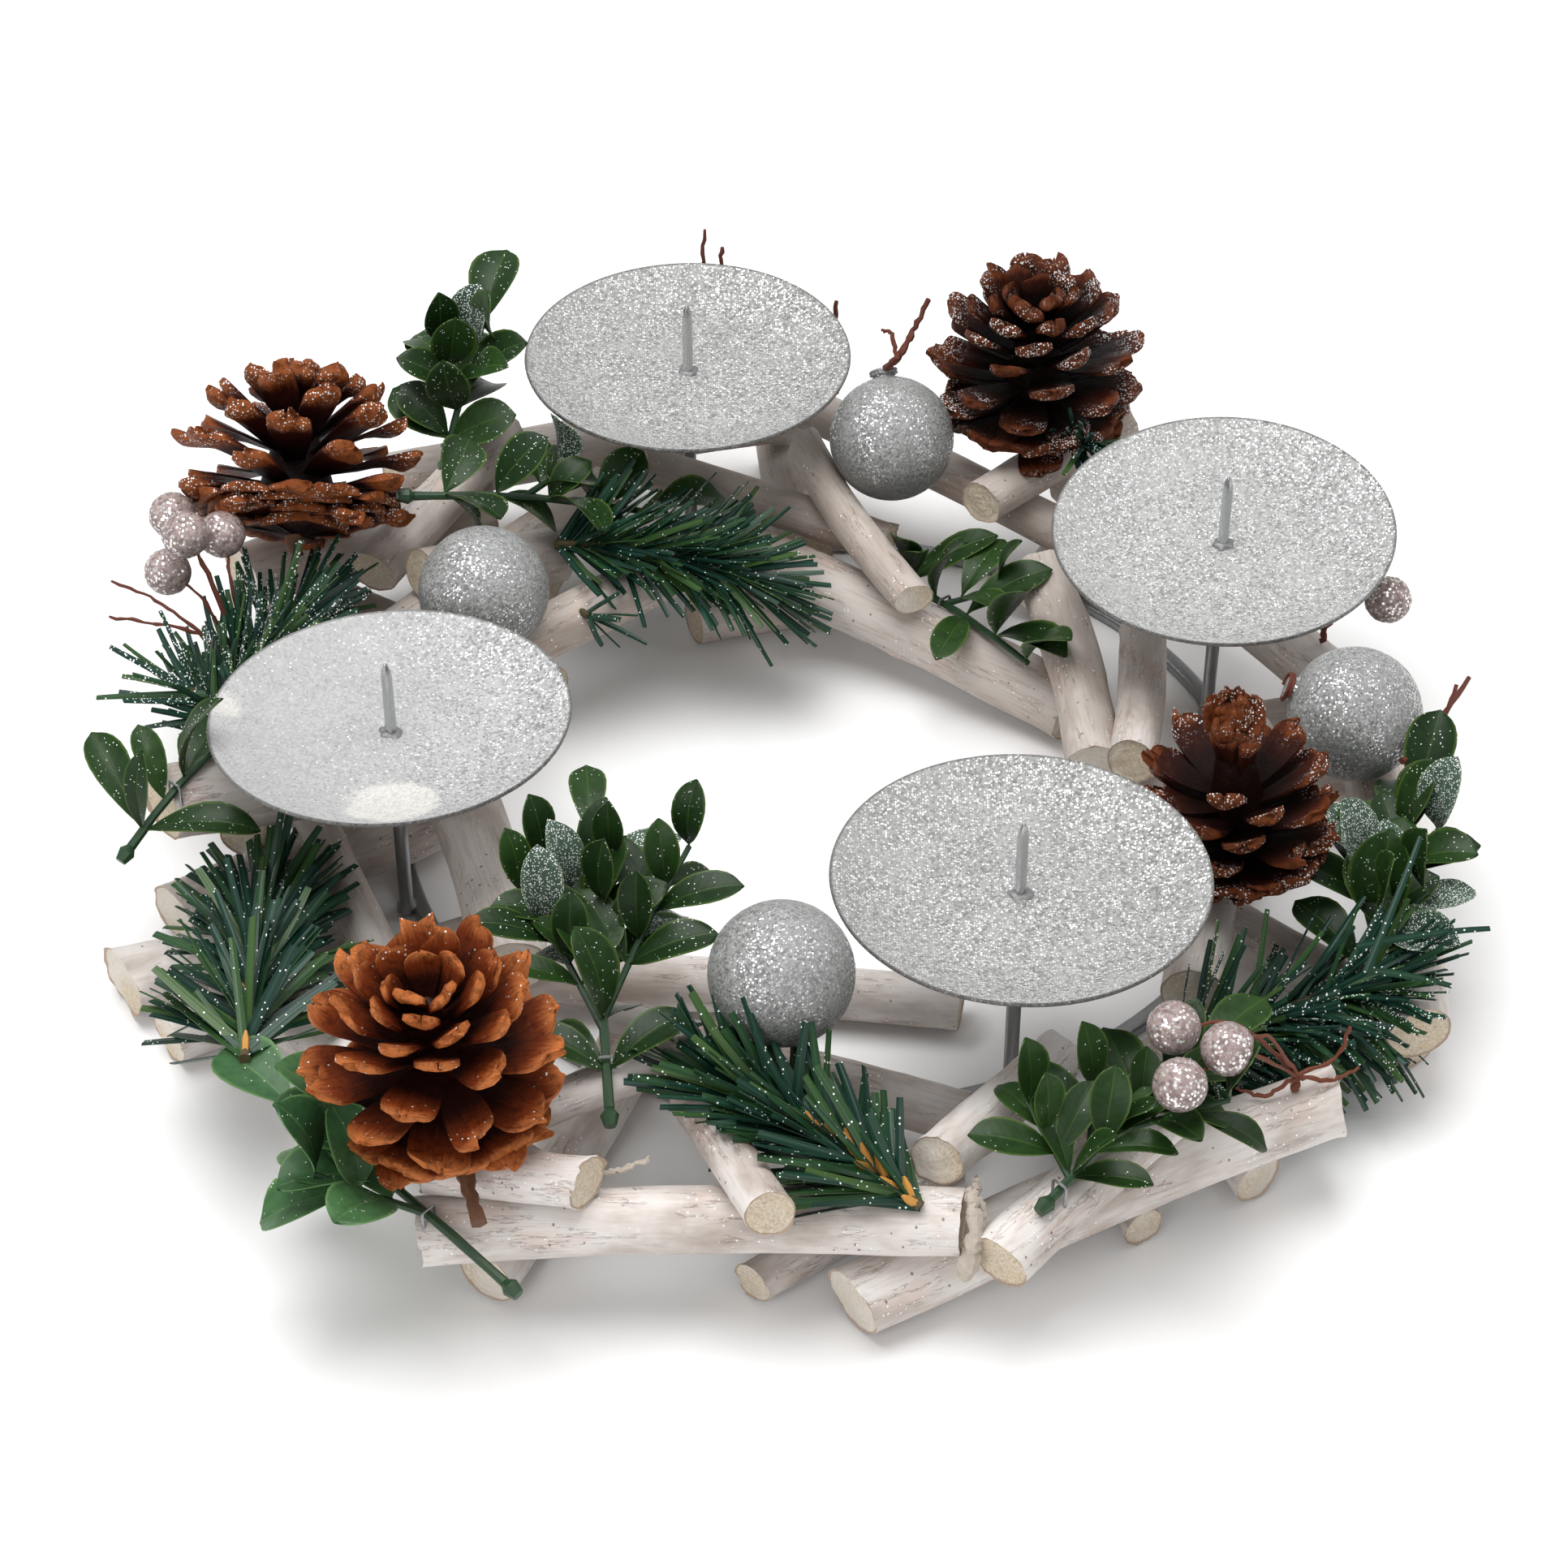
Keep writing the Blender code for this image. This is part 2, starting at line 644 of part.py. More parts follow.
def bent_clear(heap, make, direction, tries=7):
    """The shape made along the direction, turned upwards until it clears the heap, or None."""
    for _ in range(tries):
        shape = make(direction)
        lowest = min(point.z for point in shape[0])
        if lowest > GAP and not heap.meets(grown(shape, GAP)):
            return shape
        direction = (direction + Vector((0, 0, 0.35))).normalized()
    return None


def stem_on_heap(heap, start, end, radius, arch, height, pitches):
    """A stem laid on the heap between two plan positions: its points and its shape."""
    first = Vector((*start, 0))
    last = Vector((*end, 0))
    length = (last - first).length
    path = []
    radii = []
    for step in range(STEM_POINTS):
        share = step / (STEM_POINTS - 1)
        rise = arch * math.sin(math.pi * share)
        path.append(Vector(((share - 0.5) * length, 0, rise)))
        radii.append(radius * (1 - 0.3 * share))
    local = swept(path, radii, 5)
    yaw = math.atan2(last.y - first.y, last.x - first.x)
    place = heap.resting_place(local, (first + last) / 2, yaw, height, pitches)
    return [place @ point for point in path], moved(local, place)


def along_path(path, share):
    """The point and direction at a share of the path's length."""
    spot = share * (len(path) - 1)
    place = min(int(spot), len(path) - 2)
    point = path[place].lerp(path[place + 1], spot - place)
    return point, (path[place + 1] - path[place]).normalized()


def fir_shape(fir, heap, rng):
    """A fir spray: needles on a spiral round a thin twisted core, and a tuft at its tip."""
    path, core = stem_on_heap(
        heap, fir.start, fir.end, NEEDLE_CORE_RADIUS, fir.arch, fir.height, STEM_PITCHES
    )
    needles = []
    for number in range(fir.needles):
        share = min(1.0, 1.06 * (number + 0.5) / fir.needles)
        root, ahead = along_path(path, share)
        side = ahead.cross(Vector((0, 0, 1))).normalized()
        up = side.cross(ahead)
        angle = math.radians(GOLDEN_ANGLE * number + rng.uniform(-15, 15))
        spread = math.radians(rng.uniform(38, 62) * (1 - 0.5 * max(0.0, share - 0.8) / 0.2))
        round_core = side * math.cos(angle) + up * math.sin(angle)
        direction = ahead * math.cos(spread) + round_core * math.sin(spread)
        length = fir.length * rng.uniform(0.75, 1.1)
        needle = bent_clear(heap, lambda to: needle_shape(root, to, length), direction)
        if needle:
            needles.append(needle)
    return fused(fir.name, core, needles)


def boxwood_shape(sprig, heap, rng):
    """A boxwood spray: pairs of leaves, each a quarter turn on, and one leaf at the tip."""
    pitches = STEM_PITCHES if sprig.pitch is None else (-sprig.pitch,)
    path, stem = stem_on_heap(
        heap, sprig.start, sprig.end, LEAF_STEM_RADIUS, 2, sprig.height, pitches
    )
    leaves = []
    for pair in range(sprig.pairs + 1):
        share = 0.12 + 0.86 * pair / sprig.pairs
        root, ahead = along_path(path, share)
        side = ahead.cross(Vector((0, 0, 1))).normalized()
        up = side.cross(ahead)
        turn = math.radians(90 * pair + rng.uniform(-20, 20))
        out = side * math.cos(turn) + up * math.sin(turn)
        if pair < sprig.pairs:
            directions = [ahead * 0.6 + out + up * 0.25, ahead * 0.6 - out + up * 0.25]
        else:
            directions = [ahead + up * 0.1]
        for direction in directions:
            direction.normalize()
            facing = (up + ahead * 0.3 - direction * 0.2).normalized()
            length = sprig.length * rng.uniform(0.85, 1.1)
            leaf = bent_clear(heap, lambda to: leaf_shape(root, to, facing, length), direction)
            if leaf:
                leaves.append(leaf)
    return fused(sprig.name, stem, leaves)


def pick_shape(pick, heap):
    """A few berries on wires that meet at the foot."""
    foot_radius = WIRE_RADIUS * 2
    knot = turned(((0, -4), (foot_radius, -4), (foot_radius, 4), (0, 4)), 8)
    foot_lift = heap.resting_height(moved(knot, Matrix.Translation((*pick.foot, 0))), pick.height)
    foot = Vector((*pick.foot, foot_lift))
    core = moved(knot, Matrix.Translation(foot))
    pieces = []
    for x, y, rise in pick.berries:
        berry = turned(round_profile(BERRY_RADIUS, 5), 8)
        lift = heap.resting_height(moved(berry, Matrix.Translation((x, y, 0))), foot.z + rise)
        centre = Vector((x, y, max(lift, foot.z + rise)))
        middle = foot.lerp(centre, 0.5) + Vector((0, 0, WIRE_ARCH))
        pieces.append(moved(berry, Matrix.Translation(centre)))
        pieces.append(swept([foot, middle, centre], [WIRE_RADIUS] * 3, 5))
    return fused(pick.name, core, pieces)


def dropped(heap, item, shape, axis, middle):
    """The matrix that turns the shape's Z to the axis and drops it at the item's place."""
    turn = Vector(axis).to_track_quat("Z", "Y").to_matrix().to_4x4()
    at = Matrix.Translation((*item.place, 0)) @ turn @ Matrix.Translation((0, 0, -middle))
    lift = heap.resting_height(moved(shape, at), item.height)
    return Matrix.Translation((0, 0, lift)) @ at


def clear_scene():
    for obj in list(bpy.data.objects):
        bpy.data.objects.remove(obj, do_unlink=True)


def main():
    clear_scene()
    rng = random.Random(11)
    heap = Heap()
    pieces = []

    def place(name, shape, finish, matrix=None, smooth_below=35):
        matrix = matrix or Matrix.Identity(4)
        heap.add(moved(shape, matrix))
        pieces.append(model(name, shape, finish, matrix, smooth_below))

    place("frame", frame_shape(), "steel")
    laid = lay_logs(heap, rng)
    for log in LOGS:
        if log.glued_to is None:
            shape = glued_logs(log, laid) or laid[log.name].shape
            pieces.append(model(log.name, shape, "bark"))
    for holder in HOLDERS:
        place("dish_" + holder.name, dish_shape(), "silver", dish_place(holder))
    for ball in BALLS:
        place(ball.name, ball_shape(), "glitter", dropped(heap, ball, ball_shape(), ball.neck, 0))
    for cone in CONES:
        shape = cone_shape(cone)
        matrix = dropped(heap, cone, shape, cone.tip, cone.length / 2)
        place(cone.name, shape, "cone", matrix, 25)
    for sprig in BOXWOODS:
        place(sprig.name, boxwood_shape(sprig, heap, rng), "boxwood", smooth_below=25)
    for pick in PICKS:
        place(pick.name, pick_shape(pick, heap), "berry")
    for fir in FIRS:
        place(fir.name, fir_shape(fir, heap, rng), "fir", smooth_below=25)

    # The wreath's outline is centred on the origin, by way of one parent.
    xs = [point.x for point in heap.points]
    ys = [point.y for point in heap.points]
    origin = bpy.data.objects.new("wreath", None)
    bpy.context.scene.collection.objects.link(origin)
    origin.location = (-(min(xs) + max(xs)) / 2 * MM, -(min(ys) + max(ys)) / 2 * MM, 0)
    for piece in pieces:
        piece.parent = origin


main()
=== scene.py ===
"""The looks of the advent wreath: white-washed birch logs, glittering dishes and balls, pine
cones, boxwood and fir sprays, and berry picks. Lengths are millimetres about the middle of the
steel ring until a mesh is built. lay_everything lays the pieces just as the solids are laid, so
that each leaf, needle, scale and log here replaces the solid one where it lies. The functions
whose names start with fine then build one detailed piece for each solid."""

import math
import random
from collections import namedtuple
from functools import cache

import bpy
import numpy as np
from mathutils import Matrix, Vector, geometry, noise
from mathutils.bvhtree import BVHTree


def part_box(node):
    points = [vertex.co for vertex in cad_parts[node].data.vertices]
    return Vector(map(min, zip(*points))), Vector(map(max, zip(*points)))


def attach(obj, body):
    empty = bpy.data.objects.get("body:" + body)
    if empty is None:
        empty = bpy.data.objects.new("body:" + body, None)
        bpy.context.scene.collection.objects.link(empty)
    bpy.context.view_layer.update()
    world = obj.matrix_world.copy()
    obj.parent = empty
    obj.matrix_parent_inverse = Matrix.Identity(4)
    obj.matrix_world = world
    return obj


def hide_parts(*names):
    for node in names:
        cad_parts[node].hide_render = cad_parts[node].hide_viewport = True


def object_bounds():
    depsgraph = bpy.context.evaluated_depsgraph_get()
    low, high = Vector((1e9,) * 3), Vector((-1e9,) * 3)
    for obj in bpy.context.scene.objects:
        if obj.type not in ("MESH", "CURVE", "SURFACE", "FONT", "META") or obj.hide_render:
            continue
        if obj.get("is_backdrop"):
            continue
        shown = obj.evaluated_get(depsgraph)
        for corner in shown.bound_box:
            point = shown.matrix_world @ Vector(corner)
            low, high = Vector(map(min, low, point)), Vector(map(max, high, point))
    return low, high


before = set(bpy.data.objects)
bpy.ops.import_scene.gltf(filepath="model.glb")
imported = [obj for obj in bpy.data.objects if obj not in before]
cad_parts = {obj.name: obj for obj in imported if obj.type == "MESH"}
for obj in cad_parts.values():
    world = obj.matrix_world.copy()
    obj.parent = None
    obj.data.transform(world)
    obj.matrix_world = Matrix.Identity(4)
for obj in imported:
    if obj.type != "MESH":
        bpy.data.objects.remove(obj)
SOLID_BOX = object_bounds()

# Units, directions and seeds.
MM = 0.001
UP = Vector((0, 0, 1))
DOWN = Vector((0, 0, -1))
GAP = 0.32  # clearance that neighbouring pieces keep
DROP_STEP = 1.5  # shorter than any log is thick, so that nothing drops through one
DROP_FINENESS = 0.05  # how closely the height of a dropped piece is found
GOLDEN_ANGLE = 137.508
LAST_SHARE = 0.9999  # of a path, just before its end
LAYOUT_SEED = 11  # the seed that the solids were laid with
WELD_SEED = 7
TWIG_SEED = 5
SPLINTER_SEED = 9

# Sizes that the solids and the looks share.
RING_RADIUS = 101.0
RING_WIDTH = 4.0
RING_HEIGHT = 2.5
RING_STEPS = 40
RING_INNER = RING_RADIUS - RING_WIDTH / 2
RING_OUTER = RING_RADIUS + RING_WIDTH / 2

STEM_RADIUS = 1.6
COLLAR_RADIUS = 4.0
COLLAR_HEIGHT = 2.0
SPIKE_RADIUS = 1.3
SPIKE_TIP_RADIUS = 0.4
SPIKE_LENGTH = 20.0
SPIKE_POINT = 4.0
STEM_SIDES = 7

DISH_RADIUS = 40.0
DISH_FLAT_RADIUS = 23.0
DISH_RISE = 5.4
DISH_THICKNESS = 1.0
DISH_HOLE_RADIUS = 2.1
DISH_STEPS = 24

LOG_SIDES = 9
LOG_BAYS = 3
LOG_DROP_HEIGHT = 70.0
LOG_PITCHES = range(-11, 12)  # degrees
STEM_PITCHES = range(-16, 17, 4)
STEM_POINTS = 5

BALL_RADIUS = 15.3
BALL_NECK_RADIUS = 2.8
BALL_NECK_HEIGHT = 2.0
BALL_STEPS = 12

CONE_SCALES = 22
CONE_SCALE_WIDTH = 15.0
CONE_CORE_SHARE = 0.3  # of the cone's radius
CONE_STALK_RADIUS = 1.8
CONE_STALK_LENGTH = 6.0

NEEDLE_WIDTH = 1.5
NEEDLE_CORE_RADIUS = 1.5
LEAF_STEM_RADIUS = 1.2
LEAF_THICKNESS = 0.8
LEAF_BREADTH = 0.64
BERRY_RADIUS = 5.5
GLUE_RADIUS = 3.0
WIRE_RADIUS = 0.8
WIRE_ARCH = 9.0

# Counts and sizes that only the looks use. Rows of a blade are shares of its length.
FINE_NEEDLES = 230  # needles added to each fir spray
FINE_NEEDLE_WIDTH = 1.6
WIDE_NEEDLE = 2.2
NEEDLE_FLOOR = 1.5  # the lowest height of a needle's tip
NEEDLE_ROWS = (0, 0.3, 0.6, 0.85, 1.0)
NEEDLE_COLUMNS = 3
LEAF_ROWS = (0, 0.05, 0.11, 0.19, 0.3, 0.42, 0.55, 0.68, 0.79, 0.88, 0.94, 0.975, 0.993, 1.0)
LEAF_COLUMNS = 9
SCALE_ROWS = (0, 0.25, 0.45, 0.6, 0.7, 0.78, 0.85, 0.91, 0.955, 0.985, 1.0)
SCALE_COLUMNS = 7
SCALE_SHOULDER = 0.78  # where a cone scale is widest
CLOSED_TILT = 78  # degrees, the least tilt of the closed scales at a cone's tip
BASE_SCALE_WIDTH = 13.0
STALK_RADIUS = 2.6
SHOOT_BAY = 9.0  # from one pair of leaves to the next on a side shoot
LOG_RINGS = 26
LOG_FINE_SIDES = 30
CUT_RINGS = 4
CUT_TINT = 2.0  # marks a cut end; bark has a tint from 0 to 1
BARK_INSET = 0.975  # keeps the uneven bark inside the solid log
RAGGED_LENGTH = 2.5
STAPLE_RADIUS = 0.32
STAPLE_REACH = 3.0  # no staple where the stem lies farther than this above a log
FIT_LIMIT = 0.5

# Candle holders: azimuth and radius of the stem, height of the dish's floor, and how far the
# dish leans towards +X and +Y.
Holder = namedtuple("Holder", "name azimuth radius height lean_x lean_y")
HOLDERS = (
    Holder("back_left", 109.5, 102.5, 58.5, 0, 0),
    Holder("left", 200.5, 104, 54.5, -1, 4),
    Holder("front_right", 293, 100, 57.5, 0, 2),
    Holder("back_right", 19, 98, 54.5, -3, -4),
)

# Logs from the bottom of the heap to its top: the plan position of both ends, the diameter, the
# bow of the middle, the slant of the cut ends, and the log that it is glued to, if it shares
# that log's node.
Log = namedtuple("Log", "name start end diameter bow slant glued_to", defaults=(None,))
LOGS = (
    Log("log_back_inner_low", (-33, 63), (5, 73), 12, 0, 10),
    Log("log_back_right_inner", (-26, 73), (60, 25), 17, 2, 12),
    Log("log_front_inner", (-70, -66), (29, -73), 13, 1, 8),
    Log("log_front_stub", (-17, -154), (26, -120), 10, 0, 10),
    Log("log_front_right_stub", (65, -138), (54, -106), 9, 0, 8),
    Log("log_right_stub", (90, -126), (72, -88), 13, 0, 14),
    Log("log_left_front_stub", (-146, -84), (-72, -52), 13, 1, 15),
    Log("log_left_low", (-149, -47), (-86, -13), 17, 0, 12),
    Log("log_front_left_stub", (-44, -90), (-72, -154), 15, 1, 10, "log_front_outer"),
    Log("log_back_left_stub", (-66, 28), (-128, 72), 14, 1, 10, "log_left_back_outer"),
    Log("log_back_left_stub_outer", (-70, 74), (-108, 114), 14, 1, 8, "log_back_outer"),
    Log("log_back_stub", (-4, 84), (-12, 138), 13, 1, 8, "log_back_outer"),
    Log("log_back_right_stub", (52, 70), (84, 112), 14, 1, 8, "log_right_back_outer"),
    Log("log_right_dish_stub", (104, 22), (138, 30), 13, 0, 8, "log_right_back_outer"),
    Log("log_right_back_stub", (68, -11), (136, -4), 14, 1, 8, "log_right_outer"),
    Log("log_right_front_stub", (84, -46), (130, -86), 14, 1, 8, "log_right_outer"),
    Log("log_front_right_outer", (3, -162), (106, -119), 17, 2, 14),
    Log("log_front_outer", (-85, -155), (26, -156), 15, 2, 10),
    Log("log_back_left_inner", (-74, 30), (-22, 62), 14, 0, 12),
    Log("log_left_inner", (-92, -8), (-70, -77), 18, 2, 10),
    Log("log_left_outer", (-158, -68), (-109, -52), 16, 0, 18),
    Log("log_left_side", (-132, -36), (-134, 62), 14, 2, 8, "log_left_low"),
    Log("log_left_back_outer", (-144, 61), (-84, 90), 17, 0, 12),
    Log("log_back_outer", (-110, 100), (-6, 132), 15, 2, 10),
    Log("log_back_mid", (-6, 124), (66, 72), 12, 1, 8),
    Log("log_right_back_outer", (62, 102), (124, 16), 15, 1, 10),
    Log("log_right_outer", (126, -98), (124, 4), 15, -2, 12),
    Log("log_right_mid_low", (78, -86), (98, 0), 14, 1, 10, "log_right_outer"),
    Log("log_front_mid", (-50, -98), (28, -112), 12, 1, 8, "log_front_stub"),
    Log("log_front_left_outer", (-132, -80), (-64, -140), 14, 1, 8, "log_left_front_stub"),
    Log("log_right_inner", (52, 57), (62, -8), 14, 2, 10),
    Log("log_right_mid", (77, 44), (69, -20), 12, 1, 10),
    Log("log_back_right_top", (38, 72), (76, 106), 12, 1, 10, "log_right_back_outer"),
    Log("log_front_top", (20, -148), (48, -108), 12, 0, 10),
    Log("log_front_right_top", (32, -165), (72, -128), 14, 0, 12),
    Log("log_front_left_short", (-30, -125), (-13, -167), 11, 0, 10),
    Log("log_front_branch", (-85, -148), (-50, -155), 11, 0, 20),
    Log("log_front_left_top", (-73, -138), (-21, -120), 9, 1, 10),
    Log("log_left_top", (-118, -30), (-98, -76), 11, 0, 14),
    Log("log_back_left_top", (-111, 52), (-79, 98), 13, 0, 10),
    Log("log_back_left_inner_top", (-106, 36), (-56, 98), 12, 1, 10),
    Log("log_left_mid", (-98, 44), (-64, 63), 14, 0, 12),
    Log("log_back_inner_top", (-46, 88), (16, 72), 11, 1, 10, "log_back_right_inner"),
    Log("log_back_top", (-6, 92), (21, 42), 10, -2, 10, "log_back_right_inner"),
    Log("log_left_outer_top", (-149, -43), (-106, -30), 18, 0, 16),
)

# Balls: plan position, the height that the drop starts from, and where the neck points.
Ball = namedtuple("Ball", "name place height neck")
BALLS = (
    Ball("ball_left", (-81, 24), 62, (0.3, 0.5, -0.8)),
    Ball("ball_back", (16, 82), 53, (0.3, -0.5, 0.8)),
    Ball("ball_right", (119, -18), 60, (-0.9, 0.2, 0.3)),
    Ball("ball_front", (-11, -114), 50, (0.2, 0.6, -0.7)),
)

# Pine cones: plan position, the height that the drop starts from, the direction of the tip,
# the length and width over the scales, and how far the scales stand open, from 0 to 1.
Cone = namedtuple("Cone", "name place height tip length width openness")
CONES = (
    Cone("cone_front_left", (-80, -141), 70, (-0.05, -0.12, 1.0), 38, 55, 1.0),
    Cone("cone_left_back", (-127, 58), 72, (0.0, 0.75, 0.66), 36, 60, 1.0),
    Cone("cone_back_right", (52, 99), 74, (-0.05, 0.0, 1.0), 36, 56, 0.9),
    Cone("cone_right", (88, -54), 60, (-0.12, 0.1, 1.0), 44, 46, 0.6),
)

# Fir sprays: plan position of the core's ends, its arch, the number and length of its needles.
Fir = namedtuple("Fir", "name start end height arch needles length")
FIRS = (
    Fir("fir_front_left", (-122, -124), (-126, -58), 60, 3, 42, 27),
    Fir("fir_front", (17, -159), (-25, -127), 60, 3, 38, 22),
    Fir("fir_right", (72, -98), (118, -84), 56, 3, 38, 27),
    Fir("fir_back_left", (-66, 54), (-20, 45), 44, 3, 38, 24),
    Fir("fir_left", (-147, -8), (-127, 29), 42, 3, 32, 25),
)

# Boxwood sprays: plan position of the stem's ends, the drop's start, the stem's pitch where it
# stands up, the pairs of leaves and a leaf's length.
Boxwood = namedtuple("Boxwood", "name start end height pitch pairs length")
BOXWOODS = (
    Boxwood("boxwood_left_back", (-95, 78), (-84, 112), 70, 38, 4, 20),
    Boxwood("boxwood_back_left", (-100, 50), (-42, 66), 48, None, 4, 20),
    Boxwood("boxwood_back_right", (16, 67), (48, 26), 44, 6, 4, 19),
    Boxwood("boxwood_right", (113, -85), (132, -37), 60, None, 4, 20),
    Boxwood("boxwood_front_left", (-46, -139), (-52, -70), 70, 12, 5, 20),
    Boxwood("boxwood_front_left_outer", (-66, -172), (-112, -132), 38, 8, 4, 20),
    Boxwood("boxwood_front_right", (43, -158), (76, -124), 60, None, 4, 20),
    Boxwood("boxwood_left", (-154, -60), (-133, -32), 46, None, 2, 22),
)

# Side shoots of boxwood sprays: where each one leaves the stem, how far it turns to the left in
# degrees, how steeply it climbs, and its length.
BRANCHES = {
    "boxwood_front_left": (
        (0.30, -32, 0.20, 42),
        (0.26, 28, 0.12, 36),
        (0.48, -12, 0.55, 24),
        (0.55, 34, 0.30, 22),
    ),
    "boxwood_front_right": ((0.25, 42, 0.15, 26), (0.42, -42, 0.15, 24), (0.12, 75, 0.2, 18)),
    "boxwood_right": ((0.30, 36, 0.2, 22), (0.18, -48, 0.2, 20), (0.55, -30, 0.3, 16)),
    "boxwood_left_back": ((0.35, 42, 0.1, 18), (0.45, -40, 0.1, 16)),
    "boxwood_front_left_outer": ((0.36, 34, 0.2, 24), (0.48, -34, 0.2, 24)),
    "boxwood_back_left": ((0.45, 34, 0.2, 20),),
    "boxwood_back_right": ((0.40, 46, 0.2, 14),),
}

# Berry picks: the foot of the wires, and the plan position and rise of each berry.
Pick = namedtuple("Pick", "name foot height berries")
PICKS = (
    Pick(
        "berries_left",
        (-137, 14),
        50,
        ((-155, 40, 30), (-149, 22, 38), (-142, 30, 32), (-155, 26, 24)),
    ),
    Pick(
        "berries_front_right",
        (96, -123),
        60,
        ((68, -133, 24), (78, -141, 26), (68, -149, 24)),
    ),
)

# Small things that no solid stands for. They are laid on the finished heap.
TUFTS = (
    Fir("tuft_left", (-128, -12), (-147, -6), 46, 18, 46, 21),
    Fir("tuft_back_right", (60, 90), (64, 79), 44, 8, 40, 16),
    Fir("tuft_back_left", (-64, 44), (-57, 31), 46, 5, 26, 19),
)
LONE_PICKS = (Pick("berry_behind_dish", (118, 27), 44, ((131.5, 23.3, 12),)),)

# Thin brown twigs: where each one starts on the heap, the height that it drops from, and the
# points that it runs through.
TWIGS = (
    ((-31, 127), 50, ((-31.5, 139, 56), (-30.7, 139.5, 72))),
    ((-27, 128), 50, ((-27, 139, 58), (-26.3, 139.5, 67))),
    ((3, 122), 50, ((3, 129, 48), (2.6, 129.5, 57))),
    ((128, -34), 45, ((135, -24, 42), (145.5, -10.4, 49))),
    ((130, -36), 45, ((136, -26, 44), (141.2, -18.0, 53))),
)

# The forked twig on the back ball's neck.
NECK_TWIG = ((17, 87, 69), (21, 93, 73), (24.8, 95, 81))
NECK_TWIG_FORK = ((16, 94, 72), (13.5, 96, 71))

# Short twigs that start at a pick's foot: the points that each one runs through.
PICK_TWIGS = {
    "berries_left": (
        ((-147, 12, 45), (-157, 18, 49), (-168, 23.8, 50)),
        ((-147, 12, 45), (-158, 13, 46), (-168, 14.9, 46)),
    ),
    "berries_front_right": (
        ((89.6, -125.7, 30.5), (83.6, -123.9, 32)),
        ((103.3, -122.7, 32.3), (109.1, -119.2, 33)),
        ((105.1, -118.3, 35), (107.2, -115.8, 42)),
    ),
}

# Splinters and curls of bark: radius and points.
SPLINTERS = (
    (0.7, ((-52, -147, 29), (-46, -148, 32.5), (-42, -148, 33.5), (-38, -149, 37))),
    (0.5, ((-43, -148, 33.3), (-40, -147, 34), (-38, -146, 34.5))),
    (2.0, ((26, -164, 19), (27.5, -164, 26), (28, -161.5, 32), (27, -158, 37))),
    (1.6, ((26, -162, 23), (29, -161, 29), (29, -158, 34), (26.5, -156, 36))),
    (1.3, ((26, -155, 31), (28.5, -154, 33), (28, -152, 35))),
)

# Where a spray's needles hang over, and the few long ones that stand out from it: root, tip.
NEEDLE_LEAN = {"fir_right": Vector((-0.1, -1.4, -0.5)), "fir_front": Vector((-0.25, 0.0, 0.0))}
STRAY_NEEDLES = {
    "fir_right": (
        ((112, -101, 43), (125.5, -76.8, 60)),
        ((111, -93, 43), (139.9, -86, 45)),
        ((112, -99, 42), (131.9, -95.3, 36)),
    ),
    "tuft_left": (((-143, -8, 42), (-168.9, -4.8, 39)),),
}

# How a fir spray looks: its needles' stretch and width, the share of them under glitter, and
# its number of buds.
PLAIN_FIR = (1.0, FINE_NEEDLE_WIDTH, 0.0, 0)
FirLook = namedtuple("FirLook", "stretch width frosted buds", defaults=PLAIN_FIR)
FIR_LOOKS = {
    "fir_front": FirLook(1.14, WIDE_NEEDLE, 0.0, 36),
    "fir_front_left": FirLook(1.0, WIDE_NEEDLE, 0.0, 18),
    "fir_left": FirLook(frosted=0.4),
    "fir_right": FirLook(frosted=0.2),
    "tuft_left": FirLook(frosted=0.35),
    "tuft_back_right": FirLook(frosted=0.1),
}

# How a boxwood spray looks: its leaves' finish, the share of them under thick glitter, their
# breadth and size over the solid ones, how much of the stem is bare from its plug, and how
# many leaves are added along the stem.
SprigLook = namedtuple("SprigLook", "finish frosted narrow size bare added")
SPRIG_LOOKS = {
    "boxwood_left_back": SprigLook("dusted", 0.12, 1.1, 1.0, 0, 3),
    "boxwood_back_left": SprigLook("dusted", 0.04, 1.2, 1.0, 0, 2),
    "boxwood_back_right": SprigLook("clean", 0.0, 0.75, 1.25, 0, 1),
    "boxwood_right": SprigLook("dusted", 0.3, 1.0, 1.18, 0, 5),
    "boxwood_front_left": SprigLook("dusted", 0.22, 0.82, 1.06, 0, 6),
    "boxwood_front_left_outer": SprigLook("light", 0.0, 1.25, 1.15, 22, 4),
    "boxwood_front_right": SprigLook("clean", 0.0, 0.84, 1.0, 0, 6),
    "boxwood_left": SprigLook("dusted", 0.0, 0.62, 1.12, 0, 4),
}

# The form of each cone: the number of scales, how ragged they are, the share of the spiral
# beyond which they close and how much narrower those are, how cupped they are, the thickness
# of their lip, their breadth, how square their end is, how far they curl up, and the points
# of a long stalk.
STALK_POINTS = ((-79, -144, 38), (-75, -154, 41), (-71, -167, 38))
ConeLook = namedtuple("ConeLook", "scales ragged closed narrow cup lip broad square curl stalk")
CONE_LOOKS = {
    "cone_front_left": ConeLook(50, 0.60, 1.0, 1.0, 0.02, 1.2, 1.12, 3.0, 0.9, STALK_POINTS),
    "cone_left_back": ConeLook(47, 0.50, 0.9, 1.0, 0.03, 2.3, 1.05, 5.0, 0.2, ()),
    "cone_back_right": ConeLook(54, 0.45, 1.0, 1.0, 0.03, 1.8, 1.08, 3.4, 0.6, ()),
    "cone_right": ConeLook(72, 0.85, 0.45, 0.62, 0.10, 1.5, 0.95, 3.0, 1.0, ()),
}
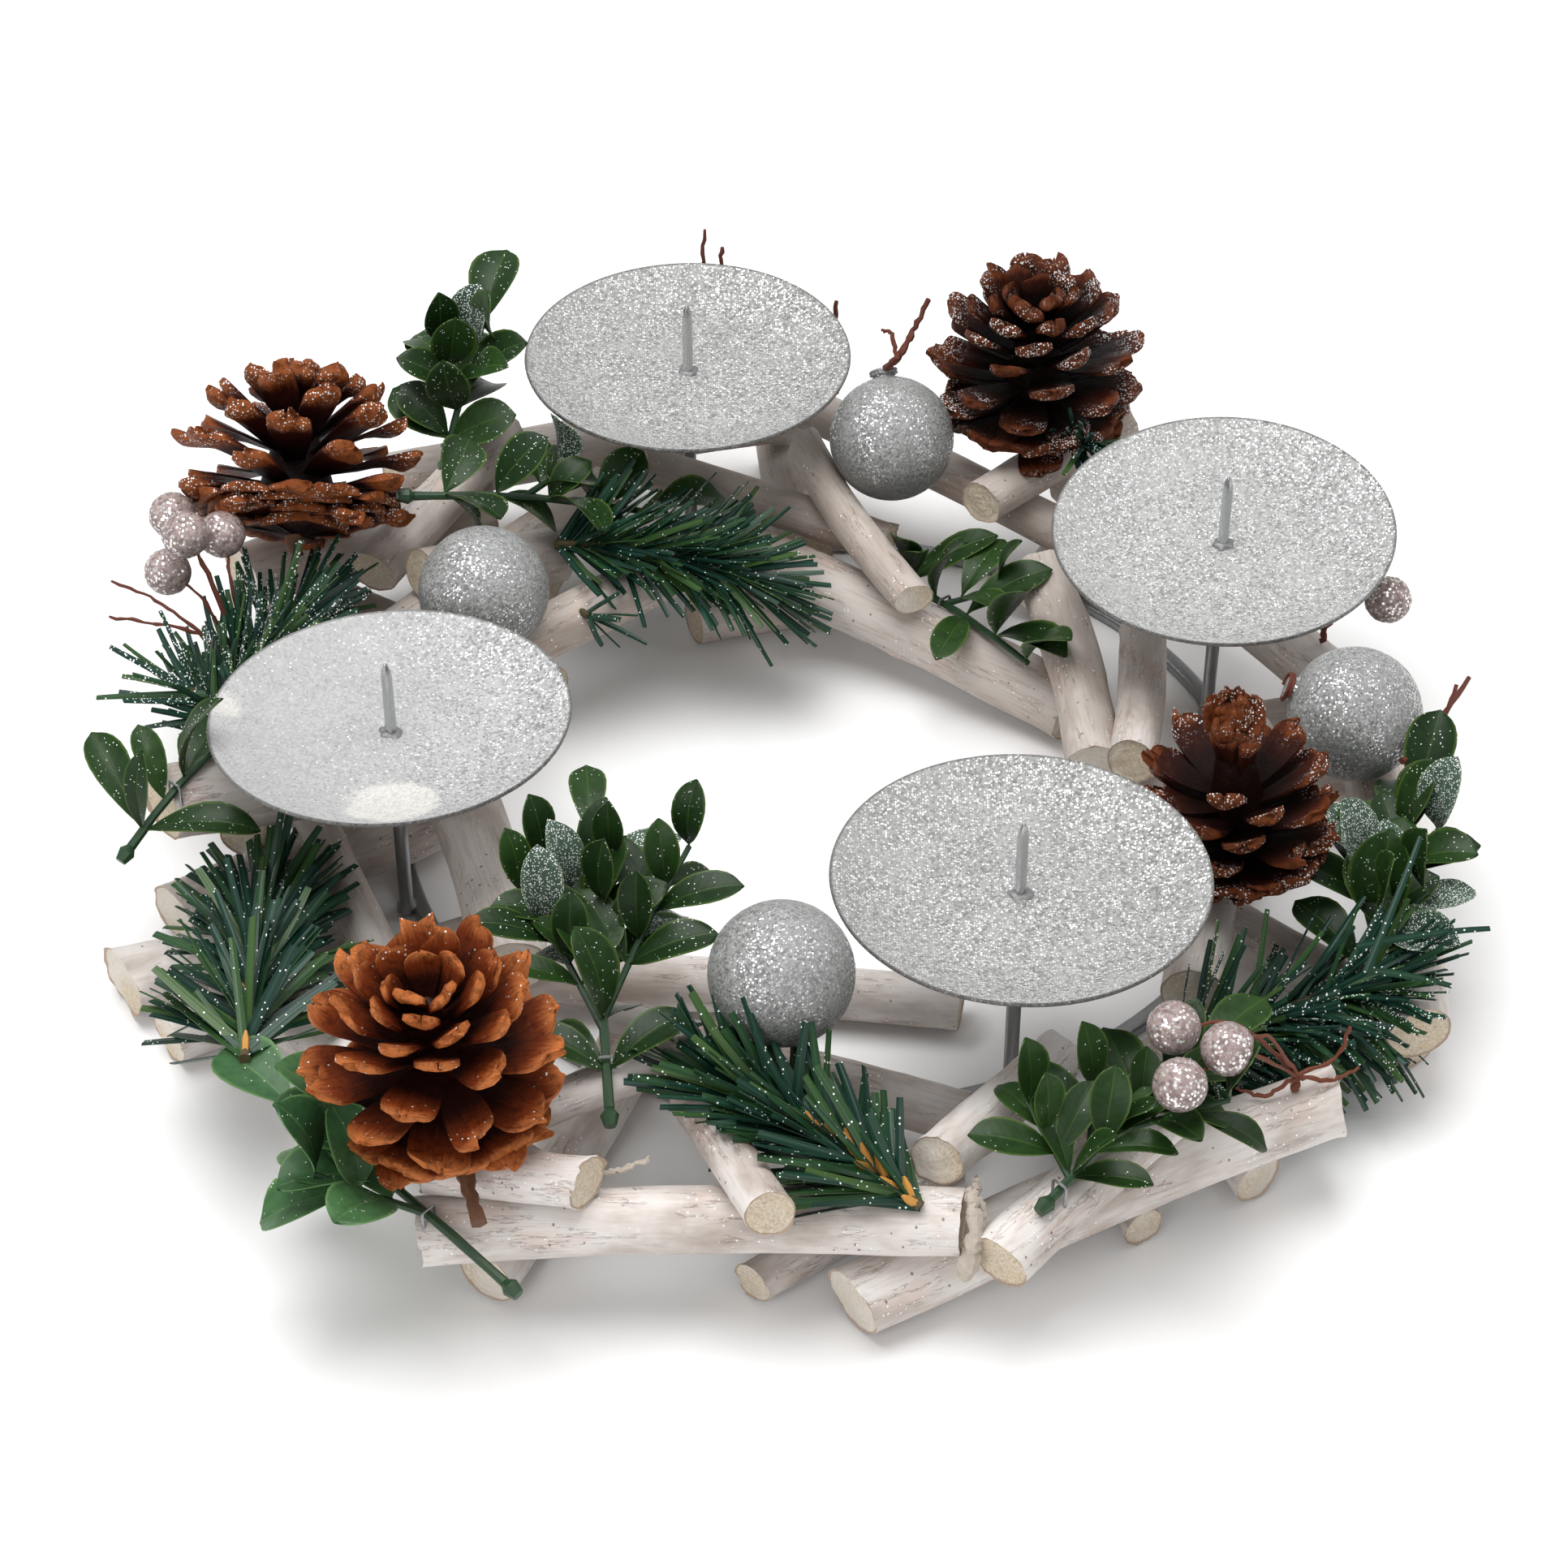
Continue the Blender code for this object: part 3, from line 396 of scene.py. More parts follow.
# The finish of each cone: the colours from the root of a scale to its lip, the share of frost and
# how pale the lip's edge is. The near-black root colour is partly the scale's own brown and partly
# painted shade between the scales.
ConeFinish = namedtuple("ConeFinish", "name root middle lip frost edge")
CONE_FINISHES = {
    "cone_front_left": ConeFinish(
        "cone_warm", (0.024, 0.004, 0.002), (0.170, 0.030, 0.006), (0.42, 0.130, 0.036), 0.05, 1.3
    ),
    "cone_left_back": ConeFinish(
        "cone_brown", (0.008, 0.002, 0.002), (0.050, 0.008, 0.004), (0.26, 0.070, 0.018), 0.42, 0.9
    ),
    "cone_back_right": ConeFinish(
        "cone_dark", (0.006, 0.002, 0.001), (0.034, 0.007, 0.003), (0.15, 0.040, 0.014), 0.65, 0.8
    ),
    "cone_right": ConeFinish(
        "cone_russet", (0.010, 0.003, 0.002), (0.046, 0.009, 0.004), (0.19, 0.050, 0.015), 0.50, 0.8
    ),
}
# Rows of short scales at a cone's base: height, reach over the cone's radius, and number.
BASE_ROWS = ((0.3, 0.44, 7), (2.3, 0.60, 9), (4.3, 0.73, 11), (6.3, 0.83, 12))
ScaleForm = namedtuple("ScaleForm", "length width lift lip cup ragged uneven square")

# Plain finishes: colour, roughness, metal, the grain's scale, and how much it darkens.
PlainLook = namedtuple("PlainLook", "colour roughness metallic grain share")
PLAIN_LOOKS = {
    "dull_steel": PlainLook((0.34, 0.35, 0.36), 0.38, 0.95, 1.0, 0.25),
    "spike_steel": PlainLook((0.58, 0.59, 0.60), 0.22, 1.0, 1.0, 0.25),
    "spike_weld": PlainLook((0.30, 0.30, 0.30), 0.5, 0.5, 1.5, 0.4),
    "paper_twine": PlainLook((0.13, 0.026, 0.010), 0.75, 0.0, 2.0, 0.4),
    "orange_twine": PlainLook((0.17, 0.038, 0.012), 0.7, 0.0, 2.0, 0.35),
    "hot_glue": PlainLook((0.62, 0.58, 0.50), 0.3, 0.0, 1.0, 0.25),
    "splinter_wood": PlainLook((0.62, 0.54, 0.46), 0.8, 0.0, 1.2, 0.4),
    "green_stem": PlainLook((0.016, 0.055, 0.018), 0.45, 0.0, 1.0, 0.25),
    "fir_core": PlainLook((0.08, 0.06, 0.02), 0.7, 0.0, 1.0, 0.25),
    "fir_bud": PlainLook((0.58, 0.27, 0.045), 0.6, 0.0, 1.0, 0.25),
    "cone_stalk": PlainLook((0.16, 0.07, 0.035), 0.8, 0.0, 1.5, 0.45),
}

# How torn the ends of some logs are.
TORN_LOGS = {
    "log_left_outer": 2.0,
    "log_left_outer_top": 1.6,
    "log_front_top": 1.8,
    "log_front_branch": 1.4,
    "log_front_right_top": 1.2,
}
# The left dish's smooth patches: place and size. Left of the worn side few flakes hold.
WORN_PATCHES = (((-95, -65, 55.5), 11), ((-137, -32, 55.5), 6))
WORN_SIDE = -96
# Balls whose neck points as in the photograph, not as on the solid.
TURNED_NECKS = {"ball_back": (-0.12, 0.72, 0.68)}

# The studio, in metres and watts: the lights' name, place, size and power.
FLOOR_REACH = 4.0
FLOOR_LEVEL = -0.0003
WORLD_STRENGTH = 0.52
LIGHT_TARGET = Vector((0, 0, 0.03))
LIGHTS = (
    ("key", (-0.15, 0.05, 1.1), 0.9, 12),
    ("front", (-0.5, -0.9, 0.55), 0.6, 2.5),
    ("side", (0.9, 0.2, 0.8), 0.6, 2),
)
# The camera: degrees above the table, and millimetres.
CAMERA_SENSOR = 36
CAMERA_LENS = 86.4
CAMERA_ELEVATION = 41.2
CAMERA_DISTANCE = 903.0
CAMERA_TARGET = Vector((-10.5, 8.5, 0))

Laid = namedtuple("Laid", "log start end place radii")
Grown = namedtuple("Grown", "root direction length facing")
Spray = namedtuple("Spray", "path grown shoots")
Bunch = namedtuple("Bunch", "foot centres")
Staple = namedtuple("Staple", "place side reach")
Layout = namedtuple("Layout", "laid balls cones sprays picks staples twigs origin")


# Shapes, each as its points and faces.


def side_and_up(ahead):
    """The directions to the side of a stem and upwards from it."""
    side = ahead.cross(UP).normalized()
    return side, side.cross(ahead)


def blade_axes(direction, facing):
    """The way across a flat part, and its facing turned square to its direction."""
    across = direction.cross(facing).normalized()
    return across, across.cross(direction).normalized()


def next_row(points, count):
    """The numbers that the next points get, as many as the count."""
    return list(range(len(points), len(points) + count))


def bands(rows, steps):
    """The faces between rows of points; a row of one point is a pole or a tip."""
    faces = []
    for lower, upper in zip(rows, rows[1:]):
        for step in range(steps):
            after = (step + 1) % steps
            face = [lower[step % len(lower)], lower[after % len(lower)]]
            face += [upper[after % len(upper)], upper[step % len(upper)]]
            faces.append(list(dict.fromkeys(face)))
    return faces


def rim_faces(rim, count):
    """The faces round the rim of a thin body, whose lower points come count after the upper."""
    faces = []
    for corner, after in zip(rim, rim[1:] + rim[:1]):
        faces.append([after, corner, corner + count, after + count])
    return faces


def turned(profile, steps, closed=False):
    """A body of revolution about Z. The profile is (radius, height) points that run up the
    outside; a radius of 0 is a pole, and a closed profile is a hollow ring's section."""
    points = []
    rows = []
    for radius, height in profile:
        if radius == 0:
            rows.append(next_row(points, 1))
            points.append(Vector((0, 0, height)))
            continue
        rows.append(next_row(points, steps))
        for step in range(steps):
            angle = math.tau * step / steps
            points.append(Vector((radius * math.cos(angle), radius * math.sin(angle), height)))
    if closed:
        rows.append(rows[0])
    return points, bands(rows, steps)


def swept(path, radii, sides):
    """A tube along a path of points, with one radius for each; a last radius of 0 is a tip."""
    ahead = (path[-1] - path[0]).normalized()
    side = ahead.orthogonal().normalized()
    points = []
    rows = []
    for place, (centre, radius) in enumerate(zip(path, radii)):
        before = path[max(place - 1, 0)]
        after = path[min(place + 1, len(path) - 1)]
        along = (after - before).normalized()
        side = (side - along * side.dot(along)).normalized()
        across = along.cross(side)
        if radius == 0:
            rows.append(next_row(points, 1))
            points.append(centre.copy())
            continue
        rows.append(next_row(points, sides))
        for step in range(sides):
            angle = math.tau * step / sides
            points.append(centre + (side * math.cos(angle) + across * math.sin(angle)) * radius)
    faces = [rows[0][::-1]] + bands(rows, sides)
    if len(rows[-1]) > 1:
        faces.append(rows[-1])
    return points, faces


def joined(*shapes):
    """Several shapes as one."""
    points = []
    faces = []
    for more_points, more_faces in shapes:
        first = len(points)
        points += more_points
        faces += [[corner + first for corner in face] for face in more_faces]
    return points, faces


def moved(shape, matrix):
    points, faces = shape
    return [matrix @ point for point in points], faces


def grown(shape, by):
    """The shape with every point pushed out along its normal."""
    points, faces = shape
    normals = [Vector() for _ in points]
    for face in faces:
        normal = geometry.normal([points[corner] for corner in face[:4]])
        for corner in face:
            normals[corner] += normal
    return [point + normal.normalized() * by for point, normal in zip(points, normals)], faces


class Heap:
    """Everything placed so far, which later pieces rest on and keep clear of."""

    def __init__(self):
        self.points = []
        self.faces = []
        self.tree = None

    def add(self, shape):
        self.points, self.faces = joined((self.points, self.faces), shape)
        self.tree = BVHTree.FromPolygons(self.points, self.faces)

    def meets(self, shape, lift=0.0):
        points, faces = shape
        up = Vector((0, 0, lift))
        return bool(self.tree.overlap(BVHTree.FromPolygons([p + up for p in points], faces)))

    def resting_height(self, shape, start):
        """How far up the shape lies when it drops from start, with a gap to all it meets."""
        roomy = grown(shape, GAP)
        table = -min(point.z for point in roomy[0])

        def clear(lift):
            return lift >= table and not self.meets(roomy, lift)

        lift = max(start, table)
        while not clear(lift):
            lift += DROP_STEP
        while clear(lift - DROP_STEP):
            lift -= DROP_STEP
        blocked = lift - DROP_STEP
        while lift - blocked > DROP_FINENESS:
            middle = (lift + blocked) / 2
            if clear(middle):
                lift = middle
            else:
                blocked = middle
        return lift

    def resting_place(self, shape, centre, yaw, start, pitches):
        """The matrix that drops a long shape at the pitch that brings its middle lowest."""
        best = None
        for pitch in pitches:
            turn = Matrix.Rotation(yaw, 4, "Z") @ Matrix.Rotation(math.radians(pitch), 4, "Y")
            place = Matrix.Translation((centre[0], centre[1], 0)) @ turn
            height = self.resting_height(moved(shape, place), start)
            if best is None or height < best[0]:
                best = (height, place)
                start = height + 4 * DROP_STEP
        return Matrix.Translation((0, 0, best[0])) @ best[1]


def polar(azimuth, radius):
    """The plan position at an azimuth in degrees and a radius."""
    angle = math.radians(azimuth)
    return Vector((radius * math.cos(angle), radius * math.sin(angle), 0))


def along_path(path, share):
    """The point and direction at a share of the path's length."""
    spot = share * (len(path) - 1)
    place = min(int(spot), len(path) - 2)
    point = path[place].lerp(path[place + 1], spot - place)
    return point, (path[place + 1] - path[place]).normalized()


def plan_span(start, end):
    """The middle, the length and the turn about Z of a line between two plan positions."""
    first = Vector((*start, 0))
    last = Vector((*end, 0))
    turn = math.atan2(last.y - first.y, last.x - first.x)
    return (first + last) / 2, (last - first).length, turn


def bent_clear(heap, make, direction, tries=7):
    """The shape made along the direction, turned upwards until it clears the heap, or None."""
    for _ in range(tries):
        shape = make(direction)
        lowest = min(point.z for point in shape[0])
        if lowest > GAP and not heap.meets(grown(shape, GAP)):
            return shape, direction
        direction = (direction + UP * 0.35).normalized()
    return None


def seat_slack(holder):
    """How far the collar stays below a dish that leans, so that its rim clears the dish."""
    lean = math.radians(math.hypot(holder.lean_x, holder.lean_y))
    return GAP + COLLAR_RADIUS * math.tan(lean)


def holder_levels(holder):
    """The heights of a dish's seat on its collar and of its spike's tip."""
    seat = holder.height - DISH_THICKNESS - seat_slack(holder)
    return seat, holder.height + SPIKE_LENGTH


def frame_shape():
    """The steel ring with its four stems, each with a collar under its dish and a spike."""
    outside = ((RING_OUTER, 0), (RING_OUTER, RING_HEIGHT))
    inside = ((RING_INNER, RING_HEIGHT), (RING_INNER, 0))
    ring = turned(outside + inside, RING_STEPS, closed=True)
    holders = []
    for holder in HOLDERS:
        seat, tip = holder_levels(holder)
        profile = (
            (0, RING_HEIGHT / 2),
            (STEM_RADIUS, RING_HEIGHT / 2),
            (STEM_RADIUS, seat - COLLAR_HEIGHT - COLLAR_RADIUS / 2),
            (COLLAR_RADIUS, seat - COLLAR_HEIGHT),
            (COLLAR_RADIUS, seat),
            (SPIKE_RADIUS, seat),
            (SPIKE_RADIUS, tip - SPIKE_POINT),
            (SPIKE_TIP_RADIUS, tip),
            (0, tip),
        )
        place = Matrix.Translation(polar(holder.azimuth, holder.radius))
        holders.append(moved(turned(profile, STEM_SIDES), place))
    return joined(ring, *holders)


def dish_shape():
    """A shallow dish with a flat floor round its spike hole and a rim that curves upwards."""
    upper = [(DISH_HOLE_RADIUS, 0), (DISH_FLAT_RADIUS, 0)]
    for share in (0.5, 1.0):
        radius = DISH_FLAT_RADIUS + (DISH_RADIUS - DISH_FLAT_RADIUS) * share
        upper.append((radius, DISH_RISE * share**1.6))
    lower = [(radius, height - DISH_THICKNESS) for radius, height in upper]
    return turned(lower + upper[::-1], DISH_STEPS, closed=True)


def dish_place(holder):
    lean = Matrix.Rotation(math.radians(holder.lean_x), 4, "Y")
    lean @= Matrix.Rotation(math.radians(-holder.lean_y), 4, "X")
    foot = polar(holder.azimuth, holder.radius)
    return Matrix.Translation(foot + UP * holder.height) @ lean


# The solids' shapes, and how each piece is laid on the heap.


def log_shape(log, length, rng):
    """A bowed, slightly uneven log along X with slanting cut ends."""
    slant = math.tan(math.radians(log.slant))
    points = []
    radii = []
    rows = []
    for bay in range(LOG_BAYS + 1):
        share = bay / LOG_BAYS
        radius = log.diameter / 2 * rng.uniform(0.93, 1.0)
        radii.append(radius)
        rows.append(next_row(points, LOG_SIDES))
        bow = log.bow * math.sin(math.pi * share)
        slope = slant * {0: -1, LOG_BAYS: 1}.get(bay, 0)
        for side in range(LOG_SIDES):
            angle = math.tau * side / LOG_SIDES
            across = radius * math.cos(angle)
            along = (share - 0.5) * length + slope * across
            points.append(Vector((along, across + bow, radius * math.sin(angle))))
    faces = [rows[0][::-1], rows[-1]] + bands(rows, LOG_SIDES)
    return points, faces, radii


def lay_logs(heap, rng):
    """Every log dropped onto the heap in turn: its shape there and the ends of its axis."""
    laid = {}
    for log in LOGS:
        middle, length, yaw = plan_span(log.start, log.end)
        *shape, radii = log_shape(log, length, rng)
        place = heap.resting_place(shape, middle, yaw, LOG_DROP_HEIGHT, LOG_PITCHES)
        heap.add(moved(shape, place))
        half = Vector((length / 2, 0, 0))
        laid[log.name] = Laid(log, place @ -half, place @ half, place, radii)
    return laid


def crossing(one, other):
    """Where the surfaces of two logs come nearest to each other, and their axes' distance."""
    best = None
    for step in range(41):
        along = one.start.lerp(one.end, step / 40)
        share = geometry.intersect_point_line(along, other.start, other.end)[1]
        across = other.start.lerp(other.end, min(max(share, 0), 1))
        distance = (along - across).length
        if best is None or distance < best[1]:
            share = one.log.diameter / (one.log.diameter + other.log.diameter)
            best = (along.lerp(across, share), distance)
    return best


def round_profile(radius, rings):
    """A sphere's profile from its lower pole to its upper one."""
    profile = [(0, -radius)]
    for ring in range(1, rings):
        angle = math.radians(-90 + 180 * ring / rings)
        profile.append((radius * math.cos(angle), radius * math.sin(angle)))
    return profile + [(0, radius)]


def ball_shape():
    """A ball with a short neck on top, which holds its wire."""
    profile = round_profile(BALL_RADIUS, BALL_STEPS // 2)[:-1]
    foot = math.sqrt(BALL_RADIUS**2 - BALL_NECK_RADIUS**2)
    profile.append((BALL_NECK_RADIUS, foot))
    profile.append((BALL_NECK_RADIUS, foot + BALL_NECK_HEIGHT))
    profile.append((0, foot + BALL_NECK_HEIGHT))
    return turned(profile, BALL_STEPS)


def cone_scale(root, outward, up, length, width):
    """One woody scale: a thin root, a broad shoulder and a blunt, thicker tip."""
    across, rise = blade_axes(outward, up)
    points = []
    for share, breadth, depth in ((0, 0.3, 1.2), (0.76, 1.0, 1.8), (1.0, 0.5, 2.6)):
        centre = root + outward * length * share
        for side, level in ((-1, -1), (1, -1), (1, 1), (-1, 1)):
            points.append(centre + across * side * breadth * width / 2 + rise * level * depth / 2)
    faces = [[0, 1, 2, 3], [11, 10, 9, 8]]
    for row in (0, 4):
        for side in range(4):
            after = (side + 1) % 4
            faces.append([row + after, row + side, row + side + 4, row + after + 4])
    return points, faces


def scale_growth(cone, share):
    """How far a scale's root lies from the axis, its tilt and its length, at a share of the
    spiral from the cone's base to its tip."""
    half = cone.width / 2
    body = math.sin(math.pi * min(0.28 + 0.62 * share, 1)) ** 0.8
    tilt = math.radians(-12 + 30 * (1 - cone.openness) + (88 - 20 * cone.openness) * share)
    inset = half * CONE_CORE_SHARE * 0.35 * (1 - 0.6 * share)
    return inset, tilt, max(half * body - inset, half * 0.3)


def cone_shape(cone):
    """A pine cone along Z from its stalk: scales on a spiral round a slim tapering core."""
    core_radius = cone.width / 2 * CONE_CORE_SHARE
    core = turned(
        (
            (0, -CONE_STALK_LENGTH),
            (CONE_STALK_RADIUS, -CONE_STALK_LENGTH),
            (CONE_STALK_RADIUS, 0),
            (core_radius * 0.8, 2),
            (core_radius, cone.length * 0.3),
            (core_radius * 0.5, cone.length * 0.75),
            (0, cone.length * 0.92),
        ),
        10,
    )
    scales = []
    for number in range(CONE_SCALES):
        share = number / (CONE_SCALES - 1)
        angle = math.radians(GOLDEN_ANGLE * number)
        level = cone.length * (0.08 + 0.72 * share**0.9)
        inset, tilt, length = scale_growth(cone, share)
        root = Vector((inset * math.cos(angle), inset * math.sin(angle), level))
        outward = polar(math.degrees(angle), math.cos(tilt)) + UP * math.sin(tilt)
        width = CONE_SCALE_WIDTH * (1 - 0.55 * share)
        scales.append(cone_scale(root, outward, UP, length, width))
    return joined(core, *scales)


def needle_shape(root, direction, length):
    """A needle as a slim spike of three sides."""
    return swept([root, root + direction * length], [NEEDLE_WIDTH / 2, 0], 3)


def spread_at(share, degrees):
    """How far a needle spreads from its core: less and less near the spray's tip."""
    return math.radians(degrees * (1 - 0.5 * max(0.0, share - 0.8) / 0.2))


def leaf_shape(root, along, facing, length):
    """A boxwood leaf with a short stalk: a thin oval blade, hollow along its midrib."""
    across, facing = blade_axes(along, facing)
    half = length * LEAF_BREADTH / 2
    stalk = across * LEAF_STEM_RADIUS * 0.5
    top = [root - stalk, root + stalk]
    for share, breadth, rise in ((0.4, 1.0, 0.08), (0.76, 0.86, 0.05)):
        middle = root + (along * share + facing * rise) * length
        edge = across * half * breadth
        trough = facing * half * 0.2
        top += [middle - edge + trough, middle, middle + edge + trough]
    top.append(root + (along - facing * 0.06) * length)
    count = len(top)
    upper = [[0, 3, 2], [0, 1, 3], [1, 4, 3]]
    upper += [[2, 3, 6], [2, 6, 5], [3, 4, 6], [4, 7, 6], [5, 6, 8], [6, 7, 8]]
    faces = upper + [[corner + count for corner in face[::-1]] for face in upper]
    points = top + [point - facing * LEAF_THICKNESS for point in top]
    return points, faces + rim_faces((0, 1, 4, 7, 8, 5, 2), count)


def grow_leaf(heap, root, ahead, direction, length, leaves):
    """Adds a leaf at the root, bent clear of the heap: its shape and how it grew."""
    up = side_and_up(ahead)[1]
    facing = (up + ahead * 0.3 - direction * 0.2).normalized()
    leaf = bent_clear(heap, lambda to: leaf_shape(root, to, facing, length), direction)
    if leaf:
        leaves.append((leaf[0], Grown(root, leaf[1], length, facing)))


def grow_turned_leaf(heap, root, ahead, turn, length, leaves):
    """Adds a leaf at the root, turned round the stem by that angle."""
    side, up = side_and_up(ahead)
    out = side * math.cos(turn) + up * math.sin(turn)
    direction = (ahead * 0.75 + out + up * 0.3).normalized()
    grow_leaf(heap, root, ahead, direction, length, leaves)


def side_shoot(sprig, heap, path, branch, spare, leaves):
    """A side shoot bent clear of the heap, with its pairs of leaves and one at its tip."""
    share, left, climb, length = branch
    root, ahead = along_path(path, share)
    direction = Matrix.Rotation(math.radians(left), 3, "Z") @ ahead + Vector((0, 0, climb))

    def shoot_shape(to):
        return swept([root + to * 4, root + to * length], [1.2, 0.8], 5)

    bent = bent_clear(heap, shoot_shape, direction.normalized())
    if not bent:
        return None
    direction = bent[1]
    bend = direction.cross(UP).normalized() * length * spare.uniform(-0.05, 0.05)
    shoot = [root, root + direction * length * 0.5 + bend, root + direction * length]
    pairs = max(1, int(length / SHOOT_BAY))
    for pair in range(pairs):
        place, ahead = along_path(shoot, 0.3 + 0.6 * pair / pairs)
        turn = math.radians(90 * pair) + spare.uniform(-0.3, 0.3)
        for opposite in (0, math.pi):
            leaf_length = sprig.length * spare.uniform(0.72, 0.98)
            grow_turned_leaf(heap, place, ahead, turn + opposite, leaf_length, leaves)
    leaf_length = sprig.length * spare.uniform(0.7, 0.9)
    grow_turned_leaf(heap, shoot[-1], direction, math.pi / 2, leaf_length, leaves)
    return shoot


def more_leaves(sprig, heap, path):
    """Leaves that fill the spray, and its side shoots with theirs."""
    spare = random.Random(sprig.name)
    leaves = []
    count = SPRIG_LOOKS[sprig.name].added
    for number in range(count):
        root, ahead = along_path(path, 0.14 + 0.84 * number / count)
        turn = spare.uniform(0, math.tau)
        length = sprig.length * spare.uniform(0.6, 0.92)
        grow_turned_leaf(heap, root, ahead, turn, length, leaves)
    shoots = []
    for branch in BRANCHES.get(sprig.name, ()):
        shoots.append(side_shoot(sprig, heap, path, branch, spare, leaves))
    return [leaf for _, leaf in leaves], [shoot for shoot in shoots if shoot]


def more_needles(fir, heap, path):
    """Needles that fill the spray, each bent clear of what lies round it."""
    spare = random.Random(fir.name)
    needles = []
    count = FINE_NEEDLES if fir in FIRS else fir.needles
    for number in range(count):
        share = min(1.0, (number + spare.random()) / count * 1.04)
        root, ahead = along_path(path, share)
        side, up = side_and_up(ahead)
        angle = spare.uniform(0, math.tau)
        spread = spread_at(share, spare.uniform(30, 60))
        out = side * math.cos(angle) + up * math.sin(angle) * 0.7
        direction = ahead * math.cos(spread) + out * math.sin(spread)
        direction += NEEDLE_LEAN.get(fir.name, Vector()) * spare.random()
        direction.normalize()
        length = fir.length * spare.uniform(0.7, 1.05)
        direction.z = max(direction.z, (NEEDLE_FLOOR - root.z) / length)
        direction.normalize()
        needle = bent_clear(heap, lambda to: needle_shape(root, to, length), direction, 4)
        if needle:
            needles.append(Grown(root, needle[1], length, up))
    return needles


def stem_on_heap(heap, start, end, radius, arch, height, pitches):
    """A stem laid on the heap between two plan positions: its points and its shape."""
    middle, length, yaw = plan_span(start, end)
    path = []
    radii = []
    for step in range(STEM_POINTS):
        share = step / (STEM_POINTS - 1)
        rise = arch * math.sin(math.pi * share)
        path.append(Vector(((share - 0.5) * length, 0, rise)))
        radii.append(radius * (1 - 0.3 * share))
    local = swept(path, radii, 5)
    place = heap.resting_place(local, middle, yaw, height, pitches)
    return [place @ point for point in path], moved(local, place)


def fir_shape(fir, heap, rng):
    """A fir spray: needles on a spiral round a thin twisted core, and a tuft at its tip."""
    radius = NEEDLE_CORE_RADIUS
    path, core = stem_on_heap(heap, fir.start, fir.end, radius, fir.arch, fir.height, STEM_PITCHES)
    shapes = []
    needles = []
    for number in range(fir.needles):
        share = min(1.0, 1.06 * (number + 0.5) / fir.needles)
        root, ahead = along_path(path, share)
        side, up = side_and_up(ahead)
        angle = math.radians(GOLDEN_ANGLE * number + rng.uniform(-15, 15))
        spread = spread_at(share, rng.uniform(38, 62))
        out = side * math.cos(angle) + up * math.sin(angle)
        direction = ahead * math.cos(spread) + out * math.sin(spread)
        length = fir.length * rng.uniform(0.75, 1.1)
        needle = bent_clear(heap, lambda to: needle_shape(root, to, length), direction)
        if needle:
            shapes.append(needle[0])
            needles.append(Grown(root, needle[1], length, up))
    needles += more_needles(fir, heap, path)
    return joined(core, *shapes), Spray(path, needles, [])


def boxwood_shape(sprig, heap, rng):
    """A boxwood spray: pairs of leaves, each a quarter turn on, and one leaf at the tip."""
    pitches = STEM_PITCHES if sprig.pitch is None else (-sprig.pitch,)
    radius = LEAF_STEM_RADIUS
    path, stem = stem_on_heap(heap, sprig.start, sprig.end, radius, 2, sprig.height, pitches)
    leaves = []
    for pair in range(sprig.pairs + 1):
        root, ahead = along_path(path, 0.12 + 0.86 * pair / sprig.pairs)
        side, up = side_and_up(ahead)
        turn = math.radians(90 * pair + rng.uniform(-20, 20))
        out = side * math.cos(turn) + up * math.sin(turn)
        directions = [ahead + up * 0.1]
        if pair < sprig.pairs:
            directions = [ahead * 0.6 + out + up * 0.25, ahead * 0.6 - out + up * 0.25]
        for direction in directions:
            length = sprig.length * rng.uniform(0.85, 1.1)
            grow_leaf(heap, root, ahead, direction.normalized(), length, leaves)
    extra, shoots = more_leaves(sprig, heap, path)
    shape = joined(stem, *[leaf for leaf, _ in leaves])
    return shape, Spray(path, [leaf for _, leaf in leaves] + extra, shoots)


def pick_shape(pick, heap):
    """A few berries on wires that meet at the foot."""
    foot_radius = WIRE_RADIUS * 2
    knot = turned(((0, -4), (foot_radius, -4), (foot_radius, 4), (0, 4)), 8)
    foot_lift = heap.resting_height(moved(knot, Matrix.Translation((*pick.foot, 0))), pick.height)
    foot = Vector((*pick.foot, foot_lift))
    core = moved(knot, Matrix.Translation(foot))
    pieces = []
    centres = []
    for x, y, rise in pick.berries:
        berry = turned(round_profile(BERRY_RADIUS, 5), 8)
        lift = heap.resting_height(moved(berry, Matrix.Translation((x, y, 0))), foot.z + rise)
        centre = Vector((x, y, max(lift, foot.z + rise)))
        middle = foot.lerp(centre, 0.5) + UP * WIRE_ARCH
        centres.append(centre)
        pieces.append(moved(berry, Matrix.Translation(centre)))
        pieces.append(swept([foot, middle, centre], [WIRE_RADIUS] * 3, 5))
    return joined(core, *pieces), Bunch(foot, centres)


def tuft_path(heap, tuft):
    """The core of a small tuft, which stands on the heap and rises by its arch to its end."""
    start = Vector((*tuft.start, tuft.height))
    hit, _, _, _ = heap.tree.ray_cast(start, DOWN)
    foot = Vector((*tuft.start, hit.z + NEEDLE_CORE_RADIUS * 0.5))
    reach = Vector((*tuft.end, foot.z)) - foot
    path = []
    for step in range(STEM_POINTS):
        share = step / (STEM_POINTS - 1)
        path.append(foot + reach * share + UP * (tuft.arch * share))
    return path


def staple_place(heap, path):
    """Where the stem lies closest to what is under it: its middle, its side and the gap."""
    best = None
    for step in range(1, 10):
        point, ahead = along_path(path, step / 20)
        hit, _, _, gap = heap.tree.ray_cast(point, DOWN)
        if hit is not None and (best is None or gap < best.reach):
            best = Staple(point, side_and_up(ahead)[0], gap)
    return best


